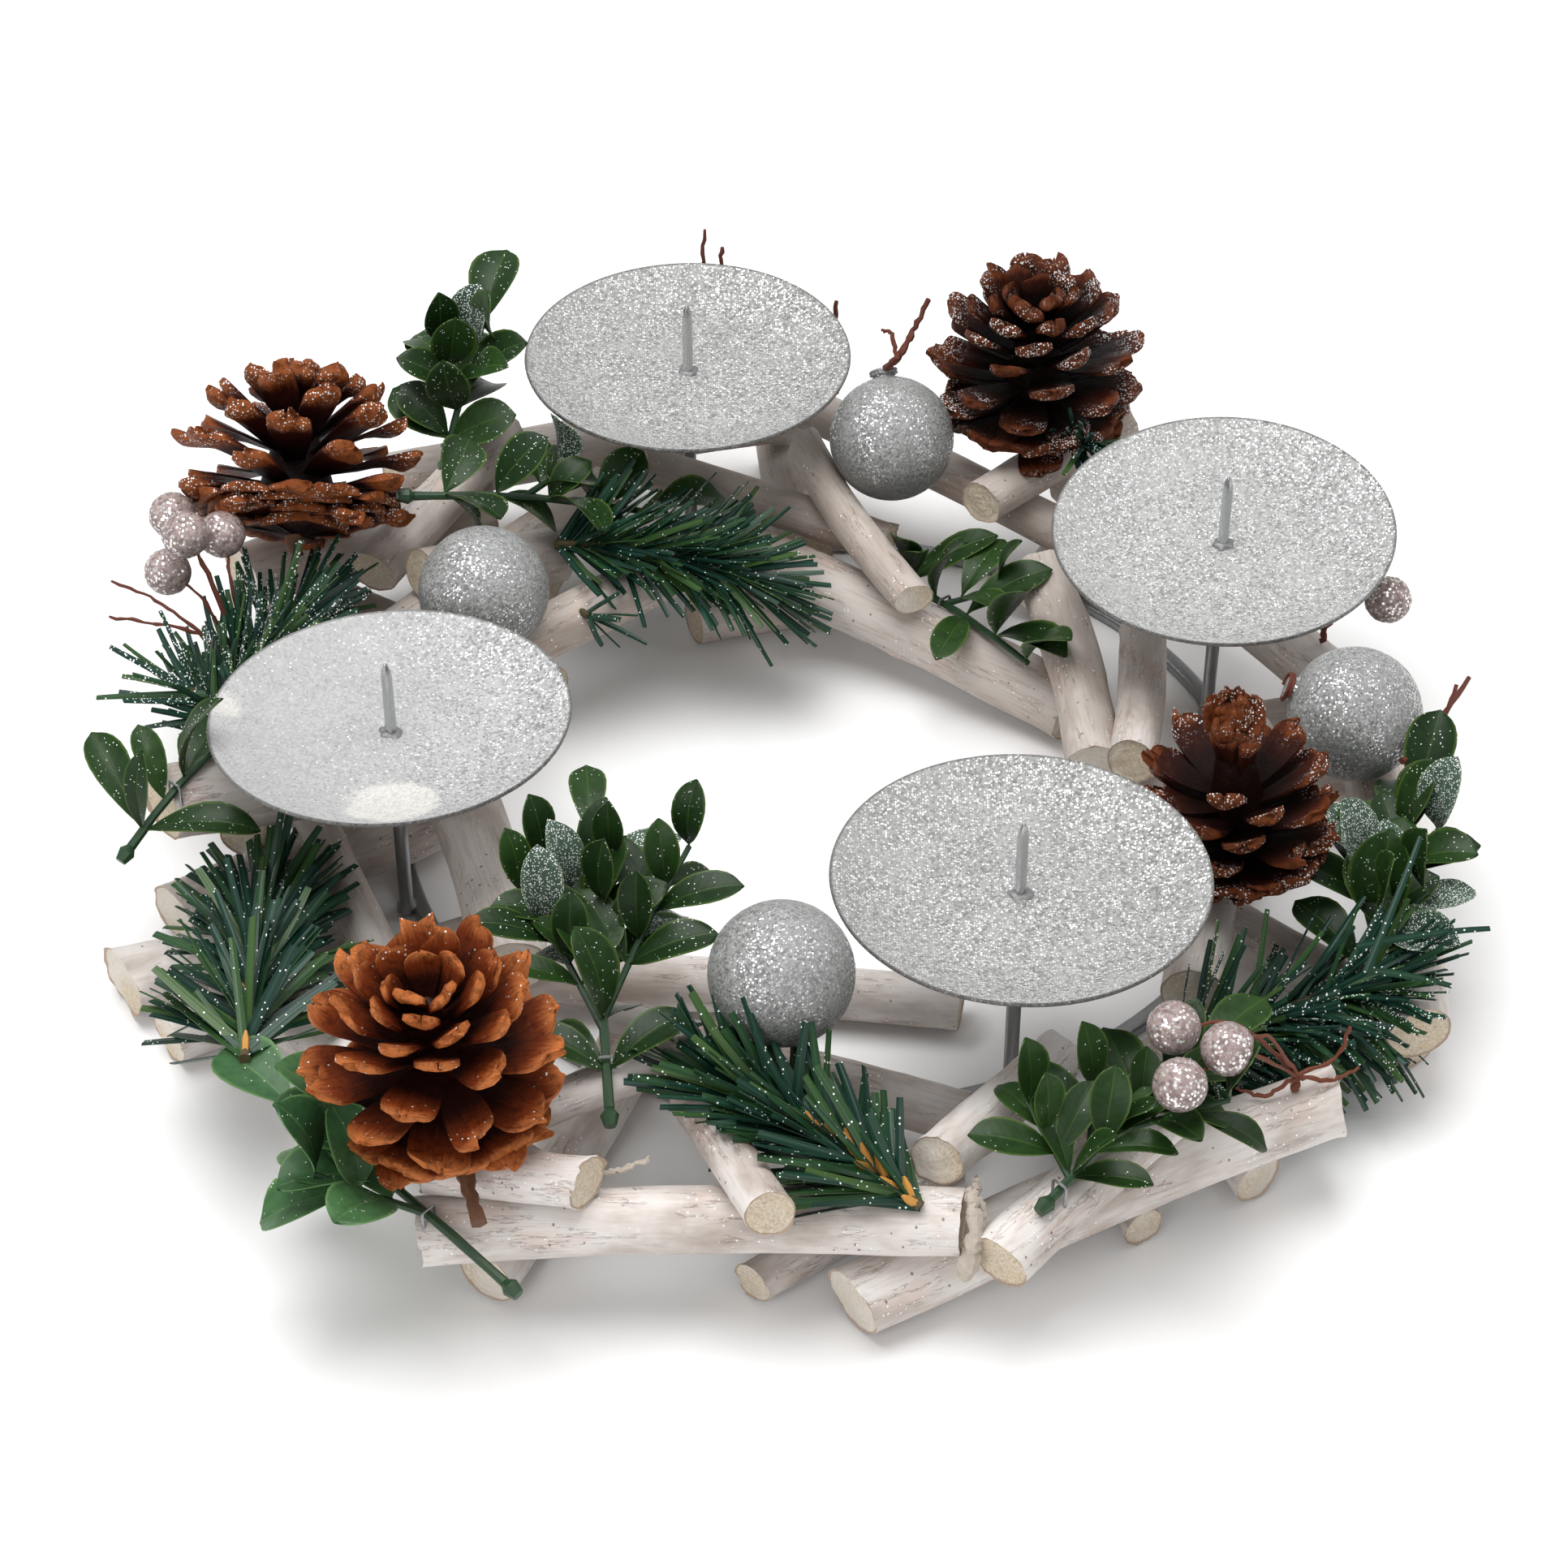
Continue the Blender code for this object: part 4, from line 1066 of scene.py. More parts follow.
def dropped(heap, item, shape, axis, middle):
    """The matrix that turns the shape's Z to the axis and drops it at the item's place."""
    turn = Vector(axis).to_track_quat("Z", "Y").to_matrix().to_4x4()
    at = Matrix.Translation((*item.place, 0)) @ turn @ Matrix.Translation((0, 0, -middle))
    lift = heap.resting_height(moved(shape, at), item.height)
    return Matrix.Translation((0, 0, lift)) @ at


def lay_everything():
    """Every piece laid in the solids' own order and with their own draws."""
    rng = random.Random(LAYOUT_SEED)
    heap = Heap()
    heap.add(frame_shape())
    laid = lay_logs(heap, rng)
    for holder in HOLDERS:
        heap.add(moved(dish_shape(), dish_place(holder)))
    balls = {}
    for ball in BALLS:
        balls[ball.name] = dropped(heap, ball, ball_shape(), ball.neck, 0)
        heap.add(moved(ball_shape(), balls[ball.name]))
    cones = {}
    for cone in CONES:
        shape = cone_shape(cone)
        cones[cone.name] = dropped(heap, cone, shape, cone.tip, cone.length / 2)
        heap.add(moved(shape, cones[cone.name]))
    staples = []
    sprays = {}
    for sprig in BOXWOODS:
        shape, sprays[sprig.name] = boxwood_shape(sprig, heap, rng)
        staples.append(staple_place(heap, sprays[sprig.name].path))
        heap.add(shape)
    picks = {}
    for pick in PICKS:
        shape, picks[pick.name] = pick_shape(pick, heap)
        heap.add(shape)
    for fir in FIRS:
        shape, sprays[fir.name] = fir_shape(fir, heap, rng)
        heap.add(shape)
    xs = [point.x for point in heap.points]
    ys = [point.y for point in heap.points]
    origin = Vector((-(min(xs) + max(xs)) / 2, -(min(ys) + max(ys)) / 2, 0))
    for pick in LONE_PICKS:
        _, picks[pick.name] = pick_shape(pick, heap)
    for tuft in TUFTS:
        path = tuft_path(heap, tuft)
        sprays[tuft.name] = Spray(path, more_needles(tuft, heap, path), [])
    twigs = []
    for start, height, points in TWIGS:
        tip = moved(turned(round_profile(1.0, 3), 6), Matrix.Translation((*start, 0)))
        foot = Vector((*start, heap.resting_height(tip, height)))
        twigs.append([foot] + [Vector(point) for point in points])
    return Layout(laid, balls, cones, sprays, picks, staples, twigs, origin)


def check_fit(layout):
    """Stops the script where the balls or cones that it lays don't lie on the frame's own."""
    shapes = {}
    for ball in BALLS:
        shapes[ball.name] = moved(ball_shape(), layout.balls[ball.name])
    for cone in CONES:
        shapes[cone.name] = moved(cone_shape(cone), layout.cones[cone.name])
    for name, (points, _) in shapes.items():
        low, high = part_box(name)
        for axis in range(3):
            values = [point[axis] + layout.origin[axis] for point in points]
            gap = max(abs(min(values) - low[axis] / MM), abs(max(values) - high[axis] / MM))
            if gap > FIT_LIMIT:
                raise ValueError(name + " isn't where this script lays it")


# Meshes and materials.


class Piece:
    """A mesh that grows part by part. Each point keeps its place on its own leaf, scale or log in
    the attribute "local", and each part has one draw in the attribute "tint"; on a log's bark the
    tint also holds painted shade, darker towards the back."""

    def __init__(self):
        self.points = []
        self.faces = []
        self.slots = []
        self.local = []
        self.tint = []

    def add(self, points, faces, tint=0.0, local=None, slot=0):
        first = len(self.points)
        self.points += points
        self.faces += [[corner + first for corner in face] for face in faces]
        self.slots += slot if isinstance(slot, list) else [slot] * len(faces)
        self.local += local or [Vector((0, 0, 0))] * len(points)
        self.tint += tint if isinstance(tint, list) else [tint] * len(points)

    def add_tube(self, path, radii, sides, slot=0):
        self.add(*swept(path, radii, sides), slot=slot)

    def add_blade(self, place, rows, columns, tint, slot=0):
        points, faces, local = blade(place, rows, columns)
        self.add(points, faces, tint, local, slot)

    def build(self, name, origin, finishes, nodes=(), smooth_below=50):
        """Makes the mesh. Edges that turn less than smooth_below degrees are smooth."""
        mesh = bpy.data.meshes.new(name)
        mesh.from_pydata([(point + origin) * MM for point in self.points], [], self.faces)
        mesh.attributes.new("local", "FLOAT_VECTOR", "POINT")
        mesh.attributes.new("tint", "FLOAT", "POINT")
        flat = np.array([tuple(place) for place in self.local], dtype=np.float32).ravel()
        mesh.attributes["local"].data.foreach_set("vector", flat)
        mesh.attributes["tint"].data.foreach_set("value", np.array(self.tint, dtype=np.float32))
        for finish in finishes:
            mesh.materials.append(finish)
        mesh.polygons.foreach_set("material_index", self.slots)
        mesh.shade_smooth()
        mesh.set_sharp_from_angle(angle=math.radians(smooth_below))
        made = bpy.data.objects.new(name, mesh)
        bpy.context.scene.collection.objects.link(made)
        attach(made, "root")
        if nodes:
            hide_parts(*nodes)


class Amount:
    """A number that varies over a surface. Sums and products of it add math nodes."""

    def __init__(self, shader, socket):
        self.shader = shader
        self.socket = socket

    def __add__(self, other):
        return self.shader.math("ADD", self, other)

    def __sub__(self, other):
        return self.shader.math("SUBTRACT", self, other)

    def __rsub__(self, other):
        return self.shader.math("SUBTRACT", other, self)

    def __mul__(self, other):
        return self.shader.math("MULTIPLY", self, other)

    def __gt__(self, other):
        return self.shader.math("GREATER_THAN", self, other)

    def __lt__(self, other):
        return self.shader.math("LESS_THAN", self, other)

    def __abs__(self):
        return self.shader.math("ABSOLUTE", self)


class Shader:
    """A Principled material built from nodes by short calls, each of which gives an Amount, or
    the socket of a colour or vector."""

    def __init__(self, name, roughness=0.5, metallic=0.0, specular=0.5):
        self.material = bpy.data.materials.new(name)
        self.material.use_nodes = True
        self.tree = self.material.node_tree
        self.surface = self.tree.nodes["Principled BSDF"].inputs
        self.surface["Roughness"].default_value = roughness
        self.surface["Metallic"].default_value = metallic
        self.surface["Specular IOR Level"].default_value = specular

    def feed(self, socket, value):
        """Links a value into the socket, or sets the socket to it."""
        value = value.socket if isinstance(value, Amount) else value
        if isinstance(value, bpy.types.NodeSocket):
            self.tree.links.new(value, socket)
        else:
            socket.default_value = value

    def node(self, kind, inputs=(), **settings):
        """A new node with its inputs fed by name or number."""
        made = self.tree.nodes.new(kind)
        for key, value in settings.items():
            setattr(made, key, value)
        for key, value in dict(inputs).items():
            self.feed(made.inputs[key], value)
        return made

    def local(self):
        """The place on the leaf, scale or log that the surface belongs to."""
        return self.node("ShaderNodeAttribute", attribute_name="local").outputs["Vector"]

    def tint(self):
        """The one draw of each leaf, scale, needle or log; on a log's bark the draw is painted
        shade, darker towards the back, with a random tone.
        """
        return Amount(self, self.node("ShaderNodeAttribute", attribute_name="tint").outputs["Fac"])

    def place(self):
        """The place on the wreath, in millimetres."""
        where = self.node("ShaderNodeTexCoord").outputs["Object"]
        return self.scaled(where, (1 / MM, 1 / MM, 1 / MM))

    def scaled(self, vector, scale):
        return self.node("ShaderNodeMapping", {"Vector": vector, "Scale": scale}).outputs["Vector"]

    def parts(self, vector):
        """The X, Y and Z of a vector."""
        made = self.node("ShaderNodeSeparateXYZ", {0: vector})
        return [Amount(self, part) for part in made.outputs]

    def math(self, operation, *values):
        made = self.node("ShaderNodeMath", enumerate(values), operation=operation)
        return Amount(self, made.outputs[0])

    def vector_math(self, operation, inputs, output="Vector"):
        return self.node("ShaderNodeVectorMath", inputs, operation=operation).outputs[output]

    def noise(self, vector, scale, detail=3.0, roughness=0.5):
        inputs = {"Vector": vector, "Scale": scale, "Detail": detail, "Roughness": roughness}
        return Amount(self, self.node("ShaderNodeTexNoise", inputs).outputs["Fac"])

    def cells(self, vector, size):
        """Voronoi cells of that size: the distance to the nearest centre and a colour for each."""
        made = self.node("ShaderNodeTexVoronoi", {"Vector": vector, "Scale": 1 / size})
        return Amount(self, made.outputs["Distance"]), made.outputs["Color"]

    def draw(self, colour):
        """One random number from a cell's colour."""
        return Amount(self, self.node("ShaderNodeSeparateColor", {0: colour}).outputs[0])

    def ramp(self, value, *stops):
        made = self.node("ShaderNodeValToRGB", {0: value})
        elements = made.color_ramp.elements
        while len(elements) < len(stops):
            elements.new(1.0)
        for element, (position, colour) in zip(elements, stops):
            element.position = position
            element.color = (*colour, 1)
        return made.outputs[0]

    def step(self, value, low, high):
        """0 below low and 1 above high."""
        inputs = {"Value": value, "From Min": low, "From Max": high}
        made = self.node("ShaderNodeMapRange", inputs, interpolation_type="SMOOTHSTEP")
        return Amount(self, made.outputs["Result"])

    def mix(self, share, first, second):
        """The second colour over the first, by the share."""
        inputs = {"Factor": share}
        for number, colour in ((6, first), (7, second)):
            plain = not isinstance(colour, bpy.types.NodeSocket)
            inputs[number] = (*colour, 1) if plain else colour
        return self.node("ShaderNodeMix", inputs, data_type="RGBA").outputs[2]

    def bump(self, height, distance, strength=1.0):
        inputs = {"Height": height, "Distance": distance * MM, "Strength": strength}
        return self.node("ShaderNodeBump", inputs).outputs["Normal"]

    def tilted(self, colour, strength):
        """The surface's normal turned a little by each cell's colour, as flakes lie."""
        turn = self.vector_math("SUBTRACT", {0: colour, 1: (0.5, 0.5, 0.5)})
        turn = self.vector_math("SCALE", {0: turn, "Scale": strength})
        normal = self.node("ShaderNodeNewGeometry").outputs["Normal"]
        return self.vector_math("NORMALIZE", {0: self.vector_math("ADD", {0: normal, 1: turn})})

    def flakes(self, size, share, reach):
        """1 on the loose glitter flakes that lie on a surface."""
        distance, colour = self.cells(self.place(), size)
        return (self.draw(colour) > 1 - share) * (distance < reach)

    def finish(self, colour, **inputs):
        """The material with its colour and other varying inputs."""
        self.feed(self.surface["Base Color"], colour)
        for name, value in inputs.items():
            self.feed(self.surface[name.capitalize()], value)
        return self.material


def shaded(colour, by):
    """The colour made darker, or lighter where by is more than 1."""
    return [by * part for part in colour]


def bark_finish():
    """Birch bark under smooth white paint: soft blotches, fine cracks and brown specks, and painted
    shade that darkens the logs towards the back.
    """
    shader = Shader("washed_bark", 0.6)
    local = shader.local()
    tint = shader.tint()
    blotch = shader.noise(shader.scaled(local, (0.035, 0.09, 0.09)), 1.0, 4, 0.6)
    wash = shader.ramp(
        blotch,
        (0.30, (0.40, 0.33, 0.29)),
        (0.42, (0.52, 0.46, 0.42)),
        (0.54, (0.69, 0.635, 0.60)),
        (0.70, (0.77, 0.74, 0.715)),
    )
    # Painted shade: the tint, higher on logs towards the back, mixes in a dark grey-brown.
    wash = shader.mix(tint * 0.72, wash, (0.38, 0.32, 0.275))
    fibre = shader.noise(shader.scaled(local, (0.09, 1.3, 1.3)), 1.0, 4, 0.6)
    streaks = 1.0 - shader.step(fibre, 0.30, 0.52)
    # The brown streaks show more where the painted shade is deeper.
    colour = shader.mix(streaks * (tint * 0.35 + 0.2), wash, (0.33, 0.26, 0.21))
    where = shader.noise(shader.scaled(local, (0.05, 0.12, 0.12)), 1.3, 2)
    colour = shader.mix(shader.step(where, 0.58, 0.66) * 0.22, colour, (0.56, 0.34, 0.26))
    seam = shader.noise(shader.scaled(local, (0.05, 0.42, 0.42)), 1.0, 5, 0.65)
    crack = (1.0 - shader.step(abs(seam - 0.5), 0.002, 0.011)) * shader.step(where, 0.48, 0.56)
    colour = shader.mix(crack * 0.32, colour, (0.28, 0.17, 0.11))
    distance, cell = shader.cells(shader.scaled(local, (0.8, 0.6, 0.6)), 1.9)
    dots = (distance < 0.12) * (shader.draw(cell) > 0.45) * shader.step(blotch, 0.42, 0.52)
    colour = shader.mix(dots * 0.75, colour, (0.15, 0.08, 0.05))
    flakes = shader.flakes(0.9, 0.16, 0.26) * shader.step(where, 0.44, 0.60)
    colour = shader.mix(flakes, colour, (0.95, 0.95, 0.95))
    height = fibre * 0.3 + blotch * 0.6 - crack * 0.5 - dots * 0.4
    return shader.finish(colour, normal=shader.bump(height, 0.5, 0.7))


def cut_wood_finish():
    """The cut end of a log: cream wood with faint rings, and a brown rim of bark."""
    shader = Shader("cut_wood", 0.85)
    local = shader.local()
    _, high, wide = shader.parts(local)
    across = shader.math("SQRT", high * high + wide * wide)
    rings = shader.math("SINE", (across + shader.noise(local, 0.5, 2)) * 3.6)
    grain = shader.noise(local, 1.6, 5, 0.7)
    stain = shader.noise(local, 0.22, 3, 0.6)
    base = shader.ramp(
        grain,
        (0.3, (0.42, 0.31, 0.21)),
        (0.5, (0.68, 0.58, 0.44)),
        (0.75, (0.83, 0.77, 0.66)),
    )
    base = shader.mix(shader.step(stain, 0.5, 0.7) * 0.5, base, (0.66, 0.50, 0.32))
    wash = shader.step(shader.noise(shader.place(), 0.03, 2), 0.46, 0.58)
    base = shader.mix(wash * 0.65, base, (0.80, 0.76, 0.71))
    colour = shader.mix(shader.step(rings, 0.2, 1.0) * 0.07, base, (0.40, 0.28, 0.18))
    rim = 1.0 - shader.step(shader.tint(), 1.15, 1.75)
    colour = shader.mix(rim * 0.75, colour, (0.40, 0.27, 0.19))
    return shader.finish(colour, normal=shader.bump(grain + rings * 0.12, 0.5, 0.8))


def glitter(shader, flake, share, ground, silver, pitting=0.7):
    """Flakes in a lacquer: the colour, 1 on each bright flake, and the cells' own colours."""
    distance, cell = shader.cells(shader.place(), flake)
    level = shader.draw(cell)
    bright = (level > 1.0 - share) * (distance < 0.47)
    base = shader.mix((level < 0.22) * pitting, ground, shaded(ground, 0.5))
    return shader.mix(bright, base, silver), bright, cell


def glitter_finish(name, flake, share, ground, silver, tilt, shade):
    """A ball or berry rolled in glitter, with painted shade that darkens its lower side."""
    shader = Shader(name)
    colour, bright, cell = glitter(shader, flake, share, ground, silver)
    # Painted shade: towards the bottom the colour turns to a dark grey, as much as shade says.
    lower = 1.0 - shader.step(shader.parts(shader.local())[2], -0.75, 0.45)
    colour = shader.mix(lower * shade, colour, shaded(ground, 0.35))
    normal = shader.tilted(cell, tilt)
    roughness = bright * -0.22 + 0.5
    return shader.finish(colour, roughness=roughness, metallic=bright * 0.9, normal=normal)


def dish_finish(name, share, ground, spots=(), bare_side=None):
    """Pressed steel under pale lacquer and fine glitter, with a dark worn rim. spots are the
    places and sizes of smooth patches; bare_side is an X left of which few flakes hold."""
    shader = Shader(name, 0.4)
    place = shader.place()
    pitting = 0.7
    if bare_side is not None:
        right = shader.step(shader.parts(place)[0], bare_side - 26, bare_side + 34)
        share = right * (share * 0.85) + share * 0.15
        pitting = right * 0.55 + 0.15
    colour, bright, cell = glitter(shader, 0.54, share, ground, (0.90, 0.91, 0.90), pitting)
    cloud = shader.step(shader.noise(place, 0.07, 4, 0.6), 0.48, 0.66)
    colour = shader.mix(cloud * 0.3, colour, shaded(ground, 1.25))
    scuffs = shader.noise(shader.scaled(place, (0.10, 0.5, 0.2)), 1.0, 4, 0.7)
    colour = shader.mix(shader.step(scuffs, 0.60, 0.68) * 0.25, colour, shaded(ground, 0.6))
    wobble = shader.noise(place, 0.16, 3) * 7.0
    for spot, reach in spots:
        away = Amount(shader, shader.vector_math("DISTANCE", {0: place, 1: spot}, "Value"))
        inside = 1.0 - shader.step(away + wobble, reach + 1.2, reach + 4.2)
        colour = shader.mix(inside, colour, (0.60, 0.59, 0.56))
        bright = bright * (1.0 - inside)
    rim = shader.step(shader.parts(shader.local())[0], 0.984, 0.996)
    colour = shader.mix(rim * 0.75, colour, (0.10, 0.095, 0.09))
    roughness = bright * -0.22 + 0.58
    metallic = bright * 0.5 + 0.05
    normal = shader.tilted(cell, 0.75)
    return shader.finish(colour, roughness=roughness, metallic=metallic, normal=normal)


def leaf_finish(name, dark, light, frost):
    """A satin leaf: pale midrib and rim, faint slanting veins and a few flakes of glitter."""
    shader = Shader(name, 0.38, specular=0.22)
    side, along, _ = shader.parts(shader.local())
    across = abs(side)
    colour = shader.mix(shader.tint(), dark, light)
    mottle = shader.step(shader.noise(shader.place(), 0.35, 3), 0.4, 0.7)
    colour = shader.mix(mottle * 0.4, colour, shaded(dark, 0.5))
    vein = shader.math("SINE", (along - across * 0.16) * 62)
    colour = shader.mix(shader.step(vein, 0.5, 1.0) * 0.14, colour, light)
    pale = [1.3 * c + d for c, d in zip(light, (0.050, 0.060, 0.010))]
    colour = shader.mix(shader.step(across, 0.84, 0.98) * 0.7, colour, pale)
    rib = 1.0 - shader.step(across, 0.02, 0.07)
    colour = shader.mix(rib * 0.3, colour, pale)
    flakes = shader.flakes(0.42, frost, 0.36)
    if frost < 0.5:
        flakes = flakes * shader.step(shader.noise(shader.place(), 0.10, 2), 0.36, 0.56)
    colour = shader.mix(flakes, colour, (0.90, 0.92, 0.91))
    height = vein * 0.05 + rib * -0.4 + flakes * 0.6
    return shader.finish(colour, normal=shader.bump(height, 0.25, 0.45))


def needle_finish(name, frost):
    """A satin plastic needle with a pale line along its middle."""
    shader = Shader(name, 0.36, specular=0.3)
    across = abs(shader.parts(shader.local())[0])
    colour = shader.ramp(
        shader.tint(),
        (0.0, (0.004, 0.024, 0.018)),
        (0.5, (0.007, 0.040, 0.021)),
        (0.82, (0.020, 0.062, 0.016)),
        (1.0, (0.050, 0.100, 0.022)),
    )
    line = 1.0 - shader.step(across, 0.1, 0.5)
    colour = shader.mix(line * 0.2, colour, (0.05, 0.13, 0.08))
    colour = shader.mix(shader.flakes(0.6, frost, 0.36), colour, (0.90, 0.92, 0.91))
    return shader.finish(colour, normal=shader.bump(line, 0.12, 0.5))


def cone_finish(look):
    """A woody scale, dark above and paler below, with a lip of its own colour and frost on it.
    Towards its root it turns near black, partly its own colour and partly painted shade between the
    scales.
    """
    shader = Shader(look.name, 0.46, specular=0.12)
    _, outward, side = shader.parts(shader.local())
    place = shader.place()
    grain = shader.noise(shader.scaled(shader.local(), (5, 1.4, 1)), 1.6, 5, 0.65)
    spots = shader.noise(place, 0.5, 4, 0.65)
    along = outward + (grain - 0.5) * 0.30 + shader.tint() * 0.10 - side * 0.07
    edge = shaded(look.lip, look.edge)
    # Root to lip: the dark root stop is partly painted shade in the gaps between the scales.
    stops = ((0.50, look.root), (0.82, look.middle), (0.97, look.lip), (1.02, edge))
    colour = shader.ramp(along, *stops)
    colour = shader.mix(shader.step(spots, 0.48, 0.66) * 0.5, colour, look.root)
    patch = shader.step(shader.noise(place, 0.09, 2), 0.40, 0.60)
    flakes = shader.flakes(0.6, look.frost, 0.38) * shader.step(outward, 0.66, 0.92) * patch
    colour = shader.mix(flakes, colour, (0.92, 0.93, 0.93))
    height = grain + spots * 0.7 + flakes
    return shader.finish(colour, normal=shader.bump(height, 0.6, 0.8))


@cache
def plain_finish(name):
    """One of the PLAIN_LOOKS: a colour with fine uneven shade and a little bump."""
    look = PLAIN_LOOKS[name]
    shader = Shader(name, look.roughness, look.metallic)
    fine = shader.noise(shader.place(), look.grain, 4, 0.6)
    colour = shader.mix(fine * (look.share * 2), look.colour, shaded(look.colour, 0.45))
    return shader.finish(colour, normal=shader.bump(fine, 0.2, 0.5))


# The fine pieces.


def blade(place, rows, columns):
    """A closed thin body. place(along, across, side) is a point on its upper or lower face."""
    points = []
    local = []
    for side in (1, -1):
        for along in rows:
            for column in range(columns):
                across = -1 + 2 * column / (columns - 1)
                points.append(place(along, across, side))
                local.append(Vector((across, along, side)))
    faces = []
    count = len(rows) * columns
    for row in range(len(rows) - 1):
        for column in range(columns - 1):
            corner = row * columns + column
            top = [corner, corner + 1, corner + columns + 1, corner + columns]
            faces.append(top)
            faces.append([count + index for index in top[::-1]])
    last = (len(rows) - 1) * columns
    rim = list(range(columns))
    rim += [row * columns + columns - 1 for row in range(1, len(rows))]
    rim += [last + column for column in range(columns - 2, -1, -1)]
    rim += [row * columns for row in range(len(rows) - 2, 0, -1)]
    return points, faces + rim_faces(rim, count), local


def add_leaf(piece, leaf, rng, narrow, slot):
    """A cupped leaf on a short stalk, widest beyond its middle and gently waved along its rim."""
    across_leaf, facing = blade_axes(leaf.direction, leaf.facing)
    half = leaf.length * LEAF_BREADTH / 2 * rng.uniform(0.76, 0.92) * narrow
    phase = rng.uniform(0, math.tau)
    cup = rng.uniform(0.14, 0.45)
    sag = rng.uniform(-0.02, 0.16)
    swell = rng.uniform(1.25, 1.7)

    def place(along, across, side):
        grown_share = max(0.0, (along - 0.07) / 0.93)
        breadth = max(0.05, math.sin(math.pi * grown_share**swell) ** 0.46)
        if along >= 1.0:
            breadth = 0.06
        rise = leaf.length * (0.34 * along * (1 - along) - sag * along**3)
        wave = 0.3 * math.sin(phase + along * 7) * across**2
        crease = -0.25 * (1 - min(1.0, abs(across) * 5)) * math.sin(math.pi * along)
        height = rise + half * cup * across**2 * breadth + wave + crease
        height += side * 0.28 * (1 - 0.75 * across**4)
        return (
            leaf.root
            + leaf.direction * leaf.length * (along - 0.03 * across**2 * along**6)
            + across_leaf * half * breadth * across
            + facing * height
        )

    piece.add_blade(place, LEAF_ROWS, LEAF_COLUMNS, rng.random(), slot)


def add_needle(piece, needle, width, slot, rng):
    """A flat strip with a blunt end that bends a little along its length."""
    across_needle, facing = blade_axes(needle.direction, needle.facing)
    turn = Matrix.Rotation(rng.uniform(-0.9, 0.9), 3, needle.direction)
    across_needle = turn @ across_needle
    facing = turn @ facing
    bend = rng.uniform(-0.10, 0.10)
    droop = rng.uniform(-0.08, 0.05)

    def place(along, across, side):
        half = width / 2 * (1 - 0.3 * along**2)
        return (
            needle.root
            + needle.direction * needle.length * along
            + across_needle * (half * across + bend * needle.length * along**2)
            + facing * (side * 0.22 * (1 - 0.5 * abs(across)) + droop * needle.length * along**2)
        )

    piece.add_blade(place, NEEDLE_ROWS, NEEDLE_COLUMNS, rng.random(), slot)


def add_scale(piece, root, outward, up, form, rng):
    """A woody cone scale: a narrow root, a blade that widens to a round end, and a thick blunt
    lip that bulges below."""
    across_scale, rise = blade_axes(outward, up)
    twist = Matrix.Rotation(rng.uniform(-0.2, 0.2), 3, outward)
    across_scale = twist @ across_scale
    rise = twist @ rise
    skew = rng.uniform(-0.07, 0.07)
    bulge = form.lip * rng.uniform(0.75, 1.25)
    offset = Vector((rng.uniform(0, 99), rng.uniform(0, 99), 0))

    def place(along, across, side):
        if along < SCALE_SHOULDER:
            breadth = 0.3 + 0.7 * math.sin(math.pi / 2 * along / SCALE_SHOULDER) ** 1.4
        else:
            breadth = max(0.0, 1 - ((along - SCALE_SHOULDER) / 0.222) ** form.square) ** 0.5
        rim = noise.noise(offset + Vector((across * 1.5, along * 1.5, 0)))
        fine = noise.noise(offset + Vector((across * 4, along * 4, 7)))
        reach = form.length * (along - 0.015 * along**3 * across**2)
        reach *= 1 + form.ragged * along**4 * (0.22 * rim + 0.16 * fine)
        blunt = 1.0 if along < 0.94 else 1 - 0.5 * ((along - 0.94) / 0.06) ** 2
        thick = 0.4 + 0.35 * along**2
        if side < 0:
            hump = math.exp(-(((along - 0.9) * 6.0) ** 2))
            thick = 0.4 + bulge * hump * (1 - 0.3 * across**2)
        curl = form.lift * form.length * along**2.4
        cup = form.cup * form.width * across**2 * along
        uneven = form.uneven * (0.7 * rim * along + 0.3 * fine)
        level = curl + cup + uneven + side * thick * blunt * (1 - 0.35 * across**4)
        return (
            root
            + outward * (reach + form.length * skew * across * along)
            + across_scale * form.width / 2 * breadth * across
            + rise * level
        )

    piece.add_blade(place, SCALE_ROWS, SCALE_COLUMNS, rng.random())


def add_stem(piece, path, radius, rng):
    """A stem along a path, a little knobbly, in the piece's second material."""
    fine = []
    radii = []
    steps = 4 * (len(path) - 1)
    for step in range(steps + 1):
        share = step / steps
        fine.append(along_path(path, min(share, LAST_SHARE))[0])
        radii.append(radius * (1 - 0.3 * share) * rng.uniform(0.92, 1.08))
    piece.add_tube(fine, radii, 8, 1)


def add_twig(piece, points, radius, slot, rng):
    """A thin brown twig of twisted paper through given points."""
    fine = []
    radii = []
    steps = 7 * (len(points) - 1)
    for step in range(steps + 1):
        share = step / steps
        before, _ = along_path(points, max(0.0, share - 0.12))
        after, _ = along_path(points, min(share + 0.12, LAST_SHARE))
        here, _ = along_path(points, min(share, LAST_SHARE))
        soft = here.lerp((before + after) / 2, 0.6 if 0 < step < steps else 0.0)
        jitter = Vector((rng.uniform(-0.3, 0.3), rng.uniform(-0.3, 0.3), rng.uniform(-0.25, 0.25)))
        fine.append(soft + jitter)
        radii.append(radius * (1 - 0.4 * share) * rng.uniform(0.75, 1.25))
    piece.add_tube(fine, radii, 6, slot)


def rounded_section(inner, outer, low, high, corner):
    """A closed rectangular section with rounded corners, for a turned ring."""
    section = []
    for middle_radius, middle_height, start in (
        (outer - corner, low + corner, -90),
        (outer - corner, high - corner, 0),
        (inner + corner, high - corner, 90),
        (inner + corner, low + corner, 180),
    ):
        for step in range(4):
            angle = math.radians(start + 30 * step)
            radius = middle_radius + corner * math.cos(angle)
            section.append((radius, middle_height + corner * math.sin(angle)))
    return section


